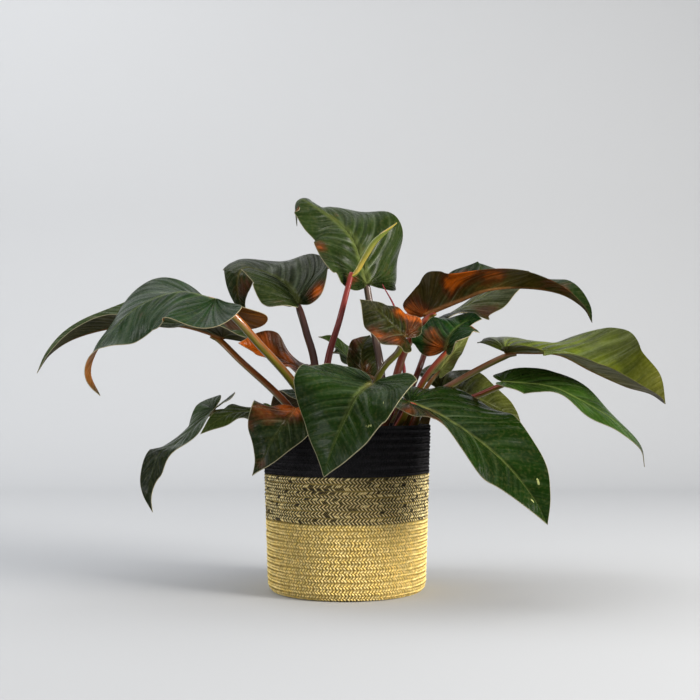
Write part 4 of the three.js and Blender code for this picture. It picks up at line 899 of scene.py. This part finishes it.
# %% Blades
# leaf_copper is the slot of the blades that carry the most painted glow.
SLOTS = {**dict.fromkeys(("upper_right", "mid_left", "centre", "front_left"), "leaf_copper"),
         **dict.fromkeys(("right", "young_right", "back_left"), "leaf_young")}
LARGE_FROM, THICKNESS = 45, 0.7
LARGE, SMALL = (112, 20, 1.9), (80, 14, 1.1)  # rows, side veins, height of the pleats
faces_made = 0
for name, leaf in LEAVES.items():
    rows, veins, pleat_height = LARGE if leaf.half > LARGE_FROM else SMALL
    sheet = blade_sheet(leaf, rows, veins)
    points, faces, value = blade_shell(sheet, leaf.thick[1] * 0.8, pleat_height, THICKNESS)
    tint, rib_tint, rib, painted_glow = blade_tints(name, points, value)
    rim = value["rim"] * (1 if name in PALE_RIM else 1.9) + (2 if name in BARE_RIM else 0)
    piece(f"leaf_{name}", points, faces, leaf_skin, [f"blade_{name}"], SLOTS.get(name, "leaf_green"),
          {"tint": tint, "rib_tint": rib_tint, "rib": rib, "painted_glow": painted_glow, "under": value["under"],
           "scar": scar_distance(name, points), "rim": rim, "veins": np.c_[value["show"], value["vein"]]},
          flat_from=2 * len(faces[0]))
    faces_made += sum(map(len, faces))
print("blades:", len(LEAVES), "with", faces_made, "faces")

# %% [markdown]
# ## Stalks
# A stalk is a round tube along its smooth line, thicker where it clasps the crown, with a shallow
# channel on its upper side. It ends inside the midrib of its blade, thinned to the midrib's width, so
# stalk and midrib read as one. The skin is smooth and streaked lengthwise. It is red or brown above,
# and olive green on the side that faces the ground.

# %% Stalk shape
BURIED, CLEAR, STALK_STEPS, THINNING = 10, 4, 60, 16
stalk_skin, tree, shader, _ = streaked(
    "smooth_stalk_skin", "way", (3, 22, 1), {"Scale": 1.6, "Detail": 4}, (0.55, 1.35),
    IOR=1.45, Roughness=0.34, Specular_IOR_Level=0.25, Coat_Weight=0.5, Coat_Roughness=0.12)
speck = add(tree, "TexNoise", {"Vector": add(tree, "TexCoord").outputs["Object"], "Scale": 700, "Detail": 2})
feed(shader, {"Normal": add(tree, "Bump", {"Height": speck, "Strength": 0.15, "Distance": 0.0003})})


def rising(x, y, *more):
    """Points of a stalk's way: straight up through the soil at x, y, and then the others."""
    return [[x, y, SOIL_TOP - BURIED], [x, y, SOIL_TOP + CLEAR], *more]


def tube(line, radii, sides, channel=0.0):
    """p + r (cos a up + sin a side), with r less by channel exp(-(a / 0.5)^2) on the upper side.

    Also the way along the tube and round it, from 0 to 1, at each point.
    """
    ahead, above = carried(line, (0.2, -1, 0))
    a = 2 * np.pi * np.arange(sides) / sides
    near = np.minimum(a, 2 * np.pi - a)
    r = np.asarray(radii)[:, None] * (1 - channel * np.exp(-(near / 0.5) ** 2))
    out = above[:, None] * np.cos(a)[:, None] + np.cross(ahead, above)[:, None] * np.sin(a)[:, None]
    t = np.r_[np.repeat(np.linspace(0, 1, len(line)), sides), 0, 1]
    round_it = np.r_[np.tile(np.arange(sides) / sides, len(line)), 0, 0]
    return *closed(line[:, None] + r[..., None] * out, line[[0, -1]]), t, round_it


def stalk_piece(name, stands_for, slot, points, faces, tint, t, round_it, length):
    """A piece with stalk skin. Its UV map is decimetres along it, and the way round, folded seamlessly."""
    way = np.c_[t * length / 100, np.abs(2 * round_it - 1)]
    piece(name, points, faces, stalk_skin, [stands_for], slot, {"tint": tint, "way": way})

# %% Stalks
BROWN = {"upper_left", "top", "far_left", "right"}
STALK_GREEN = linear("#565c1a")
for name, leaf in LEAVES.items():
    line, _ = even_line(leaf.rib, 120)
    _, up = carried(line, leaf.up)
    base_r, end_r = leaf.thick
    joint = [line[0] - up[0] * end_r * 1.2, line[7] - up[7] * (end_r * 0.5 + 0.8)]
    path, length = even_line(rising(*leaf.root, *leaf.bend, *joint), STALK_STEPS)
    t = np.linspace(0, 1, STALK_STEPS)
    radii = base_r + (end_r - base_r) * t + 0.18 * base_r * np.exp(-(t / 0.1) ** 2)
    radii = radii * (1 - 0.5 * np.clip((t - 1 + THINNING / length) / THINNING * length, 0, 1))
    points, faces, t, round_it = tube(path, radii, 20, channel=0.1)
    low, high = (linear(colour) * (0.78, 0.6, 0.6) for colour in COLOURS[name].split()[2:])
    out = points - at_rows(path, t)
    shaded = np.clip(-1.7 * out[:, 2] / np.maximum(np.linalg.norm(out, axis=1), 0.1), 0, 0.8)
    tint = blend(blend(low, high, np.clip(1.3 * t - 0.2, 0, 1)), STALK_GREEN, shaded)
    stalk_piece(f"stalk_{name}", f"petiole_{name}", "stalk_brown" if name in BROWN else "stalk_red",
                points, faces, tint, t, round_it, length)
print("stalks:", len(LEAVES))

# %% [markdown]
# ## The new leaf
# A philodendron's next leaf comes rolled up like an umbrella. Here it is a tube that swells and runs
# to a point, with a step in its radius that winds round it: the free edge of the rolled blade. Beside
# it stands the thin red sheath that had wrapped it.

# %% New leaf and sheath
def swelling(points, steps, radii, sides, channel=0.0):
    """A tube through points whose radius runs smoothly through radii, with its line and length."""
    path, length = even_line(points, steps)
    return path, length, *tube(path, along(radii, np.linspace(0, 1, steps)), sides, channel)


_, length, points, faces, t, round_it = swelling(
    rising(-35, -6, [-25, -9, 284], [-9, -29, 340], [5, -28, 395], [7, -28.2, 397]),
    STALK_STEPS, [6.1, 5.1, 4.5, 3.9, 3.4], 20, channel=0.08)
stalk_piece("stalk_new_leaf", "petiole_new_leaf", "stalk_red", points, faces,
            blend(linear("#5a1614"), linear("#7c2a22"), t), t, round_it, length)

path, length, points, faces, t, round_it = swelling(
    [[5, -28, 395], [12, -29, 400], [23, -30, 419], [37, -31, 440], [63, -32, 462]],
    70, [2.9, 3.6, 4.1, 2.9, 0.6], 32)
centre = at_rows(path, t)
winding = (round_it - 1.2 * t) % 1
swell = np.where((t > 0) & (t < 1), 1 - 0.16 * winding, 1)
stalk_piece("rolled_new_leaf", "new_leaf", "leaf_young", centre + (points - centre) * swell[:, None], faces,
            blend(linear("#5f6c20"), linear("#ae923a"), winding**2), t, round_it, length)

_, length, points, faces, t, round_it = swelling(
    rising(38, 8, [72, 13, 259], [70, 21, 304], [64, 15, 353], [46, 20, 390]),
    70, [3.8, 3.2, 2.4, 1.7, 0.6], 16, channel=0.3)
stalk_piece("dry_sheath", "sheath", "sheath", points, faces,
            np.tile(linear("#8a3034"), (len(points), 1)), t, round_it, length)
print("new leaf:", sum(map(len, faces)), "faces")

# %% [markdown]
# ## Floor and light
# The plant stands on a pale sweep that runs up behind it, so there is no horizon. The light is soft
# from all round. A very large panel hangs above, a smaller and stronger one at the right lays the
# highlights on the leaves, a weak low one at the left lifts the basket's shaded side, and the last
# lights the sweep.

# %% Sweep
FAR, BEND_START, BEND_RADIUS, SWEEP_HIGH = 40000, 1500, 900, 5000


def sweep(material):
    """A floor that turns upward behind the plant: straight, a quarter circle of 0.9 m, straight again."""
    a = np.linspace(0, np.pi / 2, 24)
    y = np.r_[-FAR, BEND_START + BEND_RADIUS * np.sin(a), BEND_START + BEND_RADIUS]
    z = np.r_[0, BEND_RADIUS - BEND_RADIUS * np.cos(a), SWEEP_HIGH]
    points = np.stack(np.broadcast_arrays([-FAR, FAR], y[:, None], z[:, None]), -1).reshape(-1, 3)
    return shape("sweep", points, [grid_faces(len(y), 2)[:, ::-1]], material)


paper, _, _ = surface("matte_paper_sweep", Roughness=0.95, Specular_IOR_Level=0.1, Base_Color=rgba("#b0b2b5"))
sweep(paper)

# %% Lights
world = bpy.context.scene.world or bpy.data.worlds.new("studio")
bpy.context.scene.world = world
world.use_nodes = True
feed(world.node_tree.nodes["Background"], {"Color": rgba("#f4f4f4"), "Strength": 0.5})


def panel(name, place, aim, size, watts, colour):
    """A square light panel at place that faces aim: its -Z axis is turned along aim - place."""
    data = bpy.data.lights.new(name, "AREA")
    data.shape, data.size, data.energy, data.color = "SQUARE", size, watts, linear(colour)
    light = bpy.data.objects.new(name, data)
    light.location = place
    x, y, z = np.subtract(aim, place)
    light.rotation_euler = (np.arctan2(np.hypot(x, y), -z), 0, np.arctan2(y, x) - np.pi / 2)
    bpy.context.collection.objects.link(light)


panel("top", (-0.5, 0.2, 2.6), (0, 0, 0.3), 3.2, 54, "#ffffff")
panel("key", (2.35, -1.25, 0.95), (0, 0, 0.2), 0.9, 132, "#fffaf2")
panel("fill", (-2.2, -1.0, 0.4), (0, 0, 0.15), 0.9, 22, "#ffffff")
panel("wall", (-2.4, 0.6, 1.9), (-0.6, 2.4, 1.7), 1.0, 32, "#ffffff")
